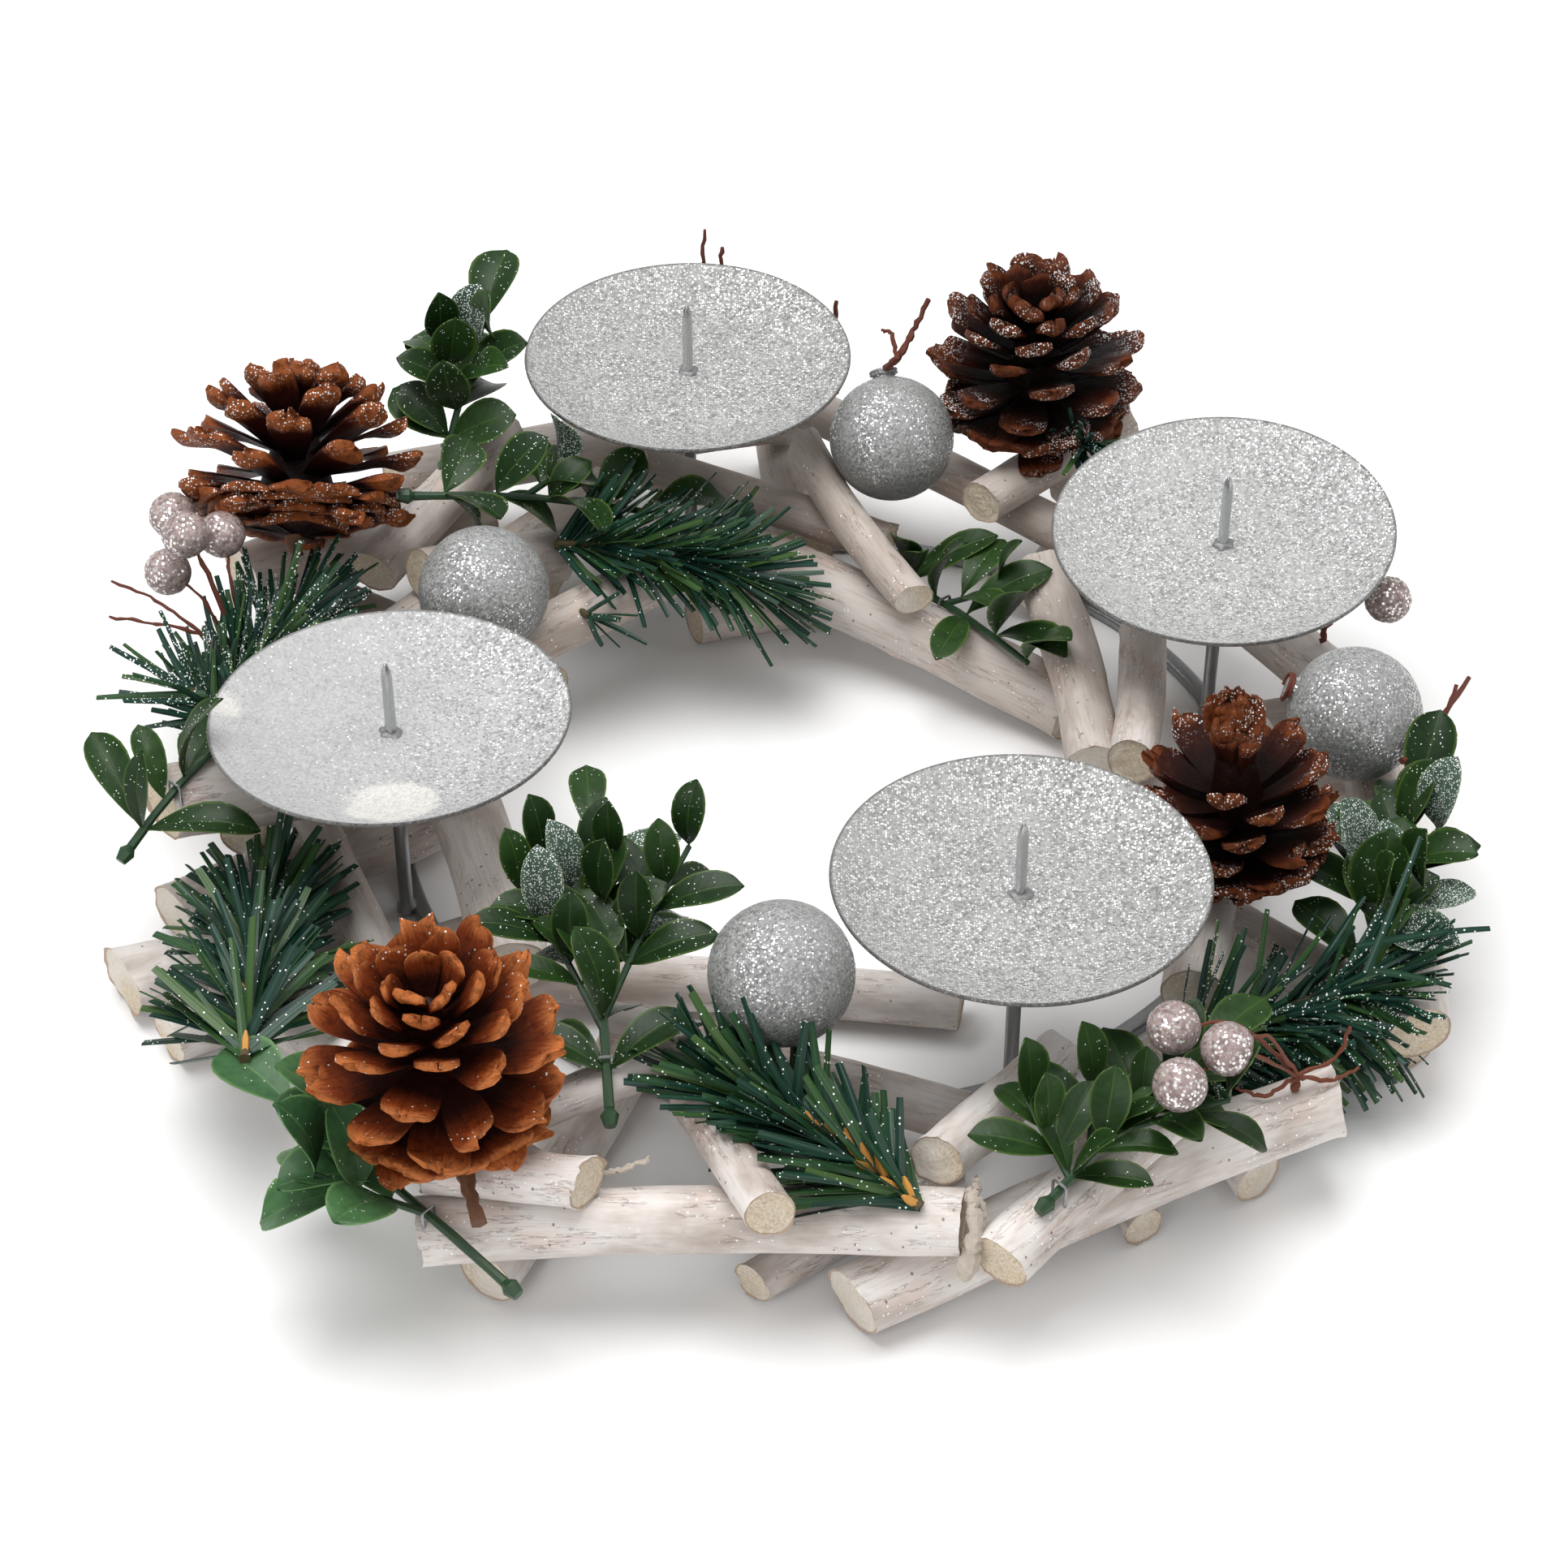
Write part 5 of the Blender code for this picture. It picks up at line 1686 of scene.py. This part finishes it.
def add_stem_and_collar(piece, foot, seat):
    """A holder's stem, with a weld at the ring and a rounded collar under its dish."""
    stem = (
        (0, RING_HEIGHT / 2),
        (STEM_RADIUS * 1.5, RING_HEIGHT / 2),
        (STEM_RADIUS * 1.4, RING_HEIGHT + 0.4),
        (STEM_RADIUS, RING_HEIGHT + 1.6),
        (STEM_RADIUS, seat - COLLAR_HEIGHT - COLLAR_RADIUS / 2),
        (COLLAR_RADIUS * 0.97, seat - COLLAR_HEIGHT),
        (COLLAR_RADIUS, seat - COLLAR_HEIGHT + 0.3),
        (COLLAR_RADIUS, seat - 0.3),
        (COLLAR_RADIUS * 0.97, seat),
        (0, seat),
    )
    piece.add(*moved(turned(stem, 24), foot))


def add_spike(piece, foot, seat, floor, tip):
    """A slightly flattened and bent spike with a long point."""
    spike = (
        (0, seat - 0.5),
        (SPIKE_RADIUS, seat - 0.5),
        (SPIKE_RADIUS * 0.96, tip - SPIKE_POINT),
        (SPIKE_RADIUS * 0.78, tip - SPIKE_POINT * 0.6),
        (SPIKE_RADIUS * 0.45, tip - SPIKE_POINT * 0.25),
        (0.2, tip - 0.2),
        (0, tip),
    )
    points, faces = turned(spike, 24)
    for point in points:
        point.y *= 1 - 0.16 * min(1.0, max(0.0, (point.z - floor) / SPIKE_LENGTH))
        point.x += 0.12 * noise.noise(point * 0.2)
    piece.add([foot @ point for point in points], faces, slot=1)


def add_weld(piece, foot, floor, offset):
    """An uneven bead of weld between the spike and the dish."""
    weld = (
        (SPIKE_RADIUS * 0.8, floor - 1.2),
        (DISH_HOLE_RADIUS * 0.98, floor - 1.2),
        (DISH_HOLE_RADIUS * 1.2, floor + 0.05),
        (DISH_HOLE_RADIUS * 1.05, floor + 0.45),
        (SPIKE_RADIUS * 1.15, floor + 0.7),
        (SPIKE_RADIUS * 0.8, floor + 0.8),
    )
    points, faces = turned(weld, 28, closed=True)
    for point in points:
        if point.z > floor:
            swell = noise.noise(point * 0.6 + offset)
            point.x *= 1 + 0.3 * swell
            point.y *= 1 + 0.3 * swell
            point.z += 0.3 * swell
    piece.add([foot @ point for point in points], faces, slot=2)


def fine_frame(layout):
    """The steel ring, its stems with their collars, and the pointed spikes in a drop of weld."""
    piece = Piece()
    rng = random.Random(WELD_SEED)
    section = rounded_section(RING_INNER, RING_OUTER, 0, RING_HEIGHT, 0.8)
    piece.add(*turned(section, 160, closed=True))
    for holder in HOLDERS:
        seat, tip = holder_levels(holder)
        foot = Matrix.Translation(polar(holder.azimuth, holder.radius))
        add_stem_and_collar(piece, foot, seat)
        add_spike(piece, foot, seat, holder.height, tip)
        add_weld(piece, foot, holder.height, Vector((rng.uniform(0, 50), 0, 0)))
    finishes = [plain_finish(name) for name in ("dull_steel", "spike_steel", "spike_weld")]
    piece.build("frame_fine", layout.origin, finishes, ["frame"], 35)


def log_surface(laid, rng):
    """A log's surface, with knots and a ragged rim: its point at a share of the length, an angle
    and a share of the radius. Also the offset of its noise, and how far its bark is darkened:
    painted shade that grows towards the back of the wreath, with a random tone of its own."""
    log = laid.log
    length = (laid.end - laid.start).length
    slant = math.tan(math.radians(log.slant))
    offset = Vector((rng.uniform(-900, 900), rng.uniform(-900, 900), rng.uniform(-900, 900)))
    knots = []
    for _ in range(rng.choice((0, 1, 1, 2))):
        place = rng.uniform(0.15, 0.85) * length
        knots.append((place, rng.uniform(0, math.tau), rng.uniform(2.0, 3.2)))
    ragged = TORN_LOGS.get(log.name, rng.choice((0.2, 0.4, 0.8, 1.2)))
    middle = (laid.start + laid.end) / 2
    # Painted shade: the bark darkens towards the back, at larger Y, with a random tone for each
    # log.
    painted_back_shade_and_tone = min(1.0, max(0.0, 0.38 + middle.y / 240 + rng.uniform(-0.25, 0.25)))

    def radius_at(share):
        spot = share * LOG_BAYS
        bay = min(int(spot), LOG_BAYS - 1)
        blend = spot - bay
        blend = blend * blend * (3 - 2 * blend)
        return (laid.radii[bay] * (1 - blend) + laid.radii[bay + 1] * blend) * BARK_INSET

    def surface(share, angle, inner=1.0):
        radius = radius_at(share)
        direction = Vector((0, math.cos(angle), math.sin(angle)))
        along = share * length
        bow = log.bow * math.sin(math.pi * share)
        spot = Vector((along * 0.045, *(direction * 0.8).yz)) + offset
        radius *= 1 + 0.055 * noise.noise(spot) + 0.022 * noise.noise(spot * 3.1)
        radius += 0.10 * noise.noise(Vector((along * 0.5, *(direction * 5.5).yz)) + offset)
        for place, turn, size in knots:
            round_knot = radius * math.remainder(angle - turn, math.tau)
            reach = math.hypot(along - place, round_knot) / size
            radius += 0.20 * size * math.exp(-((reach - 0.75) ** 2) * 5)
            radius -= 0.10 * size * math.exp(-reach * reach * 6)
        from_end = min(share, 1 - share) * length
        end = 1 - from_end / RAGGED_LENGTH
        fray = 0.0
        if end > 0:
            torn = noise.noise(Vector((angle * 1.3, share * 40, 0)) + offset)
            fine = noise.noise(Vector((angle * 6, share * 9, 3)) + offset)
            radius += end * ragged * 0.45 * max(0.0, torn + 0.25)
            fray = end * ragged * (0.9 * torn + 0.5 * fine)
        across = radius * math.cos(angle) * inner
        lean = slant * radius * math.cos(angle) * inner
        sign = 1 if share > 0.5 else -1
        near_end = max(0.0, 1 - from_end / (log.diameter * 0.8))
        along += lean * near_end * sign + fray * sign * 0.7 * (inner == 1.0)
        return Vector((along - length / 2, across + bow, radius * math.sin(angle) * inner))

    return surface, offset, painted_back_shade_and_tone


def add_log(piece, laid, rng):
    """A log with uneven bark, a knot or two, and slanting cut ends with a ragged rim."""
    surface, offset, painted_back_shade_and_tone = log_surface(laid, rng)
    points = []
    rows = []
    shares = []
    for ring in range(LOG_RINGS):
        shares.append(-math.cos(math.pi * (0.08 + 0.84 * ring / (LOG_RINGS - 1))))
    shares = [(share - shares[0]) / (shares[-1] - shares[0]) for share in shares]
    for share in shares:
        rows.append(next_row(points, LOG_FINE_SIDES))
        for side in range(LOG_FINE_SIDES):
            points.append(surface(share, math.tau * side / LOG_FINE_SIDES))
    faces = bands(rows, LOG_FINE_SIDES)
    # Every bark point carries the log's painted shade as its tint.
    tints = [painted_back_shade_and_tone] * len(points)
    slots = [0] * len(faces)
    for share, outer in ((0.0, rows[0]), (1.0, rows[-1])):
        inward = 1 if share == 0 else -1
        for ring in range(CUT_RINGS + 1):
            if ring < CUT_RINGS:
                row = next_row(points, LOG_FINE_SIDES)
                for side in range(LOG_FINE_SIDES):
                    inner = 0.9 * (1 - ring / CUT_RINGS)
                    point = surface(share, math.tau * side / LOG_FINE_SIDES, inner)
                    point.x += inward * (0.3 + 0.5 * noise.noise(point * 0.35 + offset))
                    points.append(point)
            else:
                row = next_row(points, 1)
                points.append(sum((points[index] for index in outer), Vector()) / len(outer))
            for side in range(LOG_FINE_SIDES):
                after = (side + 1) % LOG_FINE_SIDES
                face = [outer[side], row[side % len(row)], row[after % len(row)], outer[after]]
                face = list(dict.fromkeys(face))
                faces.append(face if share == 0 else face[::-1])
            outer = row
    tints += [CUT_TINT] * (len(points) - len(tints))
    slots += [1] * (len(faces) - len(slots))
    local = [point + Vector((offset.x, 0, 0)) for point in points]
    piece.add([laid.place @ point for point in points], faces, tints, local, slots)


def glue_drop(piece, place, rng):
    """An uneven drop of hot glue."""
    points, faces = turned(round_profile(GLUE_RADIUS, 8), 14)
    for index, point in enumerate(points):
        swell = 1 + 0.25 * noise.noise(point * 0.3 + Vector((rng.random() * 50, 0, 0)))
        points[index] = place + point * swell
    piece.add(points, faces, slot=2)


def fine_logs(layout):
    """One piece for each log node, with all the logs that share it and their glue."""
    finishes = [bark_finish(), cut_wood_finish(), plain_finish("hot_glue")]
    for log in LOGS:
        if log.glued_to is not None:
            continue
        rng = random.Random(log.name)
        piece = Piece()
        group = [layout.laid[log.name]]
        add_log(piece, group[0], rng)
        for other in layout.laid.values():
            if other.log.glued_to == log.name:
                crossings = [crossing(other, member) for member in group]
                near, _ = min(crossings, key=lambda pair: pair[1])
                glue_drop(piece, near, rng)
                add_log(piece, other, rng)
                group.append(other)
        piece.build(log.name + "_fine", layout.origin, finishes, [log.name], 60)


def fine_dishes(layout):
    """Pressed steel dishes with a rounded rim, a soft bend to the rim and a few dents."""
    silver = dish_finish("dish_glitter", 0.46, (0.32, 0.322, 0.312))
    pale = dish_finish("dish_pale_glitter", 0.42, (0.375, 0.378, 0.372))
    patches = [(layout.origin + Vector(place), reach) for place, reach in WORN_PATCHES]
    bare_side = layout.origin.x + WORN_SIDE
    worn = dish_finish("dish_worn_glitter", 0.32, (0.41, 0.413, 0.41), patches, bare_side)
    finishes = {"back_left": silver, "left": worn, "front_right": silver, "back_right": pale}
    for number, holder in enumerate(HOLDERS):
        upper = []
        for share in (0.0, 0.25, 0.5, 0.75, 0.95):
            upper.append((DISH_HOLE_RADIUS + (DISH_FLAT_RADIUS - DISH_HOLE_RADIUS) * share, 0.0))
        for step in range(1, 11):
            share = step / 10
            radius = DISH_FLAT_RADIUS + (DISH_RADIUS - DISH_FLAT_RADIUS) * share
            upper.append((radius, DISH_RISE * share**1.6))
        upper.insert(-1, (DISH_RADIUS * 0.988, DISH_RISE * 0.955))
        lower = [(radius, height - DISH_THICKNESS) for radius, height in upper]
        rim = (DISH_RADIUS + 0.2, DISH_RISE - DISH_THICKNESS / 2)
        points, faces = turned(lower + [rim] + upper[::-1], 128, closed=True)
        offset = Vector((number * 31.7, 0, 0))
        local = []
        for point in points:
            far = math.hypot(point.x, point.y) / DISH_RADIUS
            point.z += 0.30 * far**2 * noise.noise(point * 0.03 + offset)
            local.append(Vector((far, 0, point.z)))
        matrix = dish_place(holder)
        piece = Piece()
        piece.add([matrix @ point for point in points], faces, 0, local)
        name = "dish_" + holder.name
        finish = finishes[holder.name]
        piece.build(name + "_fine", layout.origin, [finish], [name], 60)


def ball_place(layout, name):
    """A ball's place; the neck of a ball in TURNED_NECKS points the way that the photo shows."""
    matrix = layout.balls[name]
    if name not in TURNED_NECKS:
        return matrix
    turn = Vector(TURNED_NECKS[name]).to_track_quat("Z", "Y").to_matrix().to_4x4()
    return Matrix.Translation(matrix.translation) @ turn


def fine_balls(layout):
    """Glitter balls with a small neck and a twist of brown wire."""
    ground, silver = (0.28, 0.285, 0.28), (0.90, 0.91, 0.91)
    # The last number is how deep the painted shade on the balls' lower side is.
    sparkle = glitter_finish("ball_glitter", 0.48, 0.36, ground, silver, 0.55, 0.82)
    for ball in BALLS:
        piece = Piece()
        foot = math.sqrt(BALL_RADIUS**2 - BALL_NECK_RADIUS**2)
        top = foot + BALL_NECK_HEIGHT
        profile = round_profile(BALL_RADIUS, 40)[:-3]
        profile += [
            (BALL_NECK_RADIUS * 1.05, foot),
            (BALL_NECK_RADIUS, foot + 0.5),
            (BALL_NECK_RADIUS * 1.02, top - 0.5),
            (BALL_NECK_RADIUS * 0.85, top),
            (0, top),
        ]
        points, faces = turned(profile, 72)
        offset = Vector((len(ball.name) * 7.3, 0, 0))
        for index, point in enumerate(points):
            soft = 0.007 * noise.noise(point * 0.12 + offset)
            points[index] = point * (1 + soft + 0.003 * noise.noise(point * 1.3 + offset))
        matrix = ball_place(layout, ball.name)
        turn = matrix.to_3x3()
        local = [turn @ point / BALL_RADIUS for point in points]
        piece.add([matrix @ point for point in points], faces, 0, local)
        twist = []
        for step in range(25):
            angle = math.tau * 1.6 * step / 24
            spread = BALL_NECK_RADIUS + 0.35
            side = Vector((spread * math.cos(angle), spread * math.sin(angle), 0))
            twist.append(matrix @ (side + Vector((0, 0, foot + 0.9 + 0.05 * step))))
        piece.add_tube(twist, [0.45] * len(twist), 6, 0 if ball.name in TURNED_NECKS else 1)
        finishes = [sparkle, plain_finish("paper_twine")]
        piece.build(ball.name + "_fine", layout.origin, finishes, [ball.name], 60)


def add_cone_core(piece, cone, matrix, rng):
    """The slim core, and the stub of the stalk with its bends."""
    radius = cone.width / 2 * CONE_CORE_SHARE
    core = (
        (0, -0.5),
        (radius * 0.7, 0),
        (radius, cone.length * 0.3),
        (radius * 0.5, cone.length * 0.75),
        (0, cone.length * 0.9),
    )
    # The core has no place on a scale, so it takes the near-black root colour, partly painted
    # shade.
    piece.add(*moved(turned(core, 16), matrix))
    stub = []
    radii = []
    for step in range(8):
        share = step / 7
        side = 0.7 * math.sin(share * 4)
        back = 0.5 * math.cos(share * 3) - 0.5
        stub.append(matrix @ Vector((side, back, -CONE_STALK_LENGTH * share)))
        radii.append(CONE_STALK_RADIUS * (1.15 - 0.3 * share) * rng.uniform(0.85, 1.15))
    piece.add_tube(stub, radii, 10, 1)


def fine_cone(cone, layout):
    """Many scales on the spiral of the solid cone, over rows of short ones that close its base."""
    look = CONE_LOOKS[cone.name]
    matrix = layout.cones[cone.name]
    rng = random.Random(cone.name)
    piece = Piece()
    half = cone.width / 2
    add_cone_core(piece, cone, matrix, rng)
    if look.stalk:
        add_twig(piece, [Vector(point) for point in look.stalk], STALK_RADIUS, 1, rng)
    turn = matrix.to_3x3()
    up = turn @ UP

    def add(angle, level, tilt, inset, form):
        spoke = Vector((math.cos(angle), math.sin(angle), 0))
        root = matrix @ (spoke * inset + Vector((0, 0, level)))
        outward = turn @ (spoke * math.cos(tilt) + UP * math.sin(tilt))
        add_scale(piece, root, outward, up, form, rng)

    for number in range(look.scales):
        share = number / (look.scales - 1)
        angle = math.radians(GOLDEN_ANGLE * number)
        level = cone.length * (0.08 + 0.74 * share**0.95)
        inset, tilt, length = scale_growth(cone, share)
        length *= rng.uniform(0.92, 1.02)
        width = CONE_SCALE_WIDTH * 0.78 * (1 - 0.45 * share) * look.broad * rng.uniform(0.88, 1.1)
        lift = (0.04 + 0.12 * share) * look.curl
        if share > look.closed:
            tilt = max(tilt, math.radians(CLOSED_TILT))
            width *= look.narrow
            lift = 0.02
        form = ScaleForm(length, width, lift, look.lip, look.cup, look.ragged, 1.0, look.square)
        add(angle, level, tilt + rng.uniform(-0.08, 0.08), inset, form)
    for height, reach, count in BASE_ROWS:
        for number in range(count):
            angle = math.tau * (number + 0.3 * rng.random()) / count + height
            length = half * 0.42 * rng.uniform(0.94, 1.03)
            tilt = math.radians(14 - height) + rng.uniform(-0.04, 0.04)
            width = BASE_SCALE_WIDTH * rng.uniform(0.9, 1.1)
            form = ScaleForm(length, width, 0.02, 1.6, -0.08, look.ragged * 0.4, 0.4, 2.8)
            add(angle, height - 1.2, tilt, half * reach - length, form)
    finishes = [cone_finish(CONE_FINISHES[cone.name]), plain_finish("cone_stalk")]
    piece.build(cone.name + "_fine", layout.origin, finishes, [cone.name])


def fine_boxwoods(layout):
    """Boxwood sprays with cupped leaves, some of them under thick glitter, and the plug that
    their stem ends in."""
    leaves = {
        "dusted": leaf_finish("boxwood_dusted", (0.008, 0.026, 0.006), (0.019, 0.053, 0.010), 0.06),
        "clean": leaf_finish("boxwood_clean", (0.010, 0.030, 0.007), (0.023, 0.060, 0.012), 0.02),
        "light": leaf_finish("boxwood_light", (0.028, 0.085, 0.032), (0.062, 0.150, 0.056), 0.02),
    }
    frosted = leaf_finish("boxwood_frosted", (0.03, 0.06, 0.04), (0.08, 0.13, 0.09), 0.75)
    for sprig in BOXWOODS:
        rng = random.Random(sprig.name)
        spray = layout.sprays[sprig.name]
        look = SPRIG_LOOKS[sprig.name]
        piece = Piece()
        for leaf in spray.grown:
            slot = 2 if rng.random() < look.frosted else 0
            if (leaf.root - spray.path[0]).length < look.bare:
                continue
            grown_leaf = leaf._replace(length=leaf.length * look.size)
            add_leaf(piece, grown_leaf, rng, look.narrow, slot)
        add_stem(piece, spray.path, LEAF_STEM_RADIUS * 0.9, rng)
        for shoot in spray.shoots:
            add_stem(piece, shoot, LEAF_STEM_RADIUS * 0.7, rng)
        root = spray.path[0]
        back = (root - spray.path[1]).normalized()
        piece.add_tube([root, root + back * 1.5, root + back * 4], [1.0, 2.0, 1.3], 8, 1)
        finishes = [leaves[look.finish], plain_finish("green_stem"), frosted]
        piece.build(sprig.name + "_fine", layout.origin, finishes, [sprig.name], 40)


def add_buds(piece, path, count, rng):
    """Short tan buds that lean forwards along a fir's core."""
    for number in range(count):
        root, ahead = along_path(path, (number + 0.5) / count)
        angle = rng.uniform(0, math.tau)
        side, up = side_and_up(ahead)
        out = side * math.cos(angle) + up * abs(math.sin(angle))
        direction = (ahead + out * 0.8).normalized()
        tip = root + direction * rng.uniform(4, 7)
        piece.add_tube([root, root.lerp(tip, 0.6), tip], [1.0, 0.95, 0.3], 5, 2)


def fine_firs(layout):
    """Fir sprays: flat needles round a twisted core with short tan buds along it."""
    plain = needle_finish("fir_needle", 0.06)
    frosted = needle_finish("fir_frosted_needle", 0.6)
    finishes = [plain, plain_finish("fir_core"), plain_finish("fir_bud"), frosted]
    for fir in FIRS + TUFTS:
        rng = random.Random(fir.name + "_fine")
        spray = layout.sprays[fir.name]
        look = FIR_LOOKS.get(fir.name, FirLook())
        piece = Piece()
        for needle in spray.grown:
            slot = 3 if rng.random() < look.frosted else 0
            needle = needle._replace(length=needle.length * look.stretch)
            add_needle(piece, needle, look.width * rng.uniform(0.85, 1.15), slot, rng)
        for root, tip in STRAY_NEEDLES.get(fir.name, ()):
            reach = Vector(tip) - Vector(root)
            stray = Grown(Vector(root), reach.normalized(), reach.length, UP)
            add_needle(piece, stray, look.width, 0, rng)
        add_stem(piece, spray.path, NEEDLE_CORE_RADIUS * 0.8, rng)
        add_buds(piece, spray.path, look.buds, rng)
        nodes = [fir.name] if fir in FIRS else ()
        piece.build(fir.name + "_fine", layout.origin, finishes, nodes, 40)


def add_berry(piece, centre, rng):
    """A slightly lumpy berry."""
    points, faces = turned(round_profile(BERRY_RADIUS, 26), 44)
    offset = Vector((rng.random() * 50, 0, 0))
    rough = []
    for point in points:
        soft = 0.02 * noise.noise(point * 0.5 + offset)
        rough.append(centre + point * (1 + soft + 0.035 * noise.noise(point * 1.5 + offset)))
    piece.add(rough, faces, rng.random(), [point / BERRY_RADIUS for point in points])


def fine_picks(layout):
    """Berries rolled in coarse glitter on wires wound with brown paper."""
    ground, silver = (0.33, 0.25, 0.235), (0.93, 0.90, 0.88)
    # The last number is how deep the painted shade on the berries' lower side is.
    berry = glitter_finish("berry_glitter", 0.75, 0.6, ground, silver, 0.5, 0.6)
    for pick in PICKS + LONE_PICKS:
        rng = random.Random(pick.name)
        foot, centres = layout.picks[pick.name]
        piece = Piece()
        for centre in centres:
            add_berry(piece, centre, rng)
            middle = foot.lerp(centre, 0.5) + UP * WIRE_ARCH
            add_twig(piece, [foot, middle, centre], WIRE_RADIUS * 0.7, 1, rng)
        for points in PICK_TWIGS.get(pick.name, ()):
            path = [foot] + [Vector(point) for point in points]
            add_twig(piece, path, WIRE_RADIUS * 0.7, 1, rng)
        add_twig(piece, [foot - UP * 4, foot, foot + UP * 0.5], WIRE_RADIUS * 1.1, 1, rng)
        wire = "orange_twine" if pick.name == "berries_front_right" else "paper_twine"
        nodes = [pick.name] if pick in PICKS else ()
        finishes = [berry, plain_finish(wire)]
        piece.build(pick.name + "_fine", layout.origin, finishes, nodes, 60)


def fine_twigs(layout):
    """Thin brown twigs that stand out between the dishes and sprays, and the forked one that
    rises from the back ball's neck."""
    piece = Piece()
    rng = random.Random(TWIG_SEED)
    for points in layout.twigs:
        add_twig(piece, points, 0.85, 0, rng)
    neck = ball_place(layout, "ball_back") @ (UP * (BALL_RADIUS + BALL_NECK_HEIGHT - 0.6))
    bend, *stem = [Vector(point) for point in NECK_TWIG]
    add_twig(piece, [neck, bend, *stem], 1.0, 0, rng)
    add_twig(piece, [bend] + [Vector(point) for point in NECK_TWIG_FORK], 0.7, 0, rng)
    piece.build("brown_twigs", layout.origin, [plain_finish("paper_twine")])


def fine_splinters(layout):
    """Splinters and curls of bark that stand up from two sawn ends at the front."""
    piece = Piece()
    rng = random.Random(SPLINTER_SEED)
    for radius, points in SPLINTERS:
        add_twig(piece, [Vector(point) for point in points], radius, 0, rng)
    piece.build("bark_splinters", layout.origin, [plain_finish("splinter_wood")])


def fine_staples(layout):
    """Thin wire staples that hold the boxwood stems down on the logs."""
    piece = Piece()
    for staple in layout.staples:
        if staple is None or staple.reach > STAPLE_REACH:
            continue
        wide = staple.side * (LEAF_STEM_RADIUS + 0.5)
        top = staple.place + UP * (LEAF_STEM_RADIUS + 0.4)
        low = staple.place - UP * (staple.reach + 1.2)
        path = [low + wide, top + wide, top + wide * 0.8 + UP * 0.3]
        path += [top - wide * 0.8 + UP * 0.3, top - wide, low - wide]
        piece.add_tube(path, [STAPLE_RADIUS] * len(path), 6)
    piece.build("staples", layout.origin, [plain_finish("dull_steel")])


# The studio and the camera.


def add_light(name, place, size, power):
    """A round area light that looks at the wreath."""
    lamp = bpy.data.lights.new(name, "AREA")
    lamp.shape = "DISK"
    lamp.size = size
    lamp.energy = power
    light = bpy.data.objects.new(name, lamp)
    light.location = place
    light.rotation_euler = (LIGHT_TARGET - Vector(place)).to_track_quat("-Z", "Y").to_euler()
    bpy.context.scene.collection.objects.link(light)


def studio():
    """A plain pale floor under soft light from above, and a little from the front."""
    shader = Shader("pale_floor", 0.9)
    shade = shader.noise(shader.place(), 0.01, 2)
    floor_finish = shader.finish(shader.mix(shade, (0.90, 0.90, 0.90), (0.93, 0.93, 0.93)))
    mesh = bpy.data.meshes.new("floor")
    corners = [(-1, -1, 0), (1, -1, 0), (1, 1, 0), (-1, 1, 0)]
    mesh.from_pydata([Vector(corner) * FLOOR_REACH for corner in corners], [], [[0, 1, 2, 3]])
    mesh.materials.append(floor_finish)
    floor = bpy.data.objects.new("floor", mesh)
    floor.location.z = FLOOR_LEVEL
    bpy.context.scene.collection.objects.link(floor)
    floor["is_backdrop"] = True
    world = bpy.data.worlds.new("studio")
    bpy.context.scene.world = world
    world.use_nodes = True
    world.node_tree.nodes["Background"].inputs["Color"].default_value = (1, 1, 1, 1)
    world.node_tree.nodes["Background"].inputs["Strength"].default_value = WORLD_STRENGTH
    bpy.context.scene.view_settings.view_transform = "Standard"
    for name, place, size, power in LIGHTS:
        add_light(name, place, size, power)


def photo_camera(origin):
    """The camera of the photograph, as fitted to the four dishes."""
    data = bpy.data.cameras.new("photo_camera")
    data.sensor_width = CAMERA_SENSOR
    data.lens = CAMERA_LENS
    data.clip_start = 0.05
    camera = bpy.data.objects.new("photo_camera", data)
    angle = math.radians(CAMERA_ELEVATION)
    back = Vector((0, -math.cos(angle), math.sin(angle)))
    camera.location = (origin + CAMERA_TARGET + back * CAMERA_DISTANCE) * MM
    camera.rotation_euler = (math.radians(90 - CAMERA_ELEVATION), 0, 0)
    bpy.context.scene.collection.objects.link(camera)
    bpy.context.scene.camera = camera


def main():
    layout = lay_everything()
    check_fit(layout)
    fine_frame(layout)
    fine_logs(layout)
    fine_dishes(layout)
    fine_balls(layout)
    for cone in CONES:
        fine_cone(cone, layout)
    fine_boxwoods(layout)
    fine_firs(layout)
    fine_picks(layout)
    fine_twigs(layout)
    fine_splinters(layout)
    fine_staples(layout)
    studio()
    photo_camera(layout.origin)


def write_sizes():
    """Puts the solids' box and the dressed box side by side as lists, which nothing keeps."""
    boxes = {"cad": SOLID_BOX, "visual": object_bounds()}
    for name, box in boxes.items():
        boxes[name] = [list(corner) for corner in box]


main()
write_sizes()
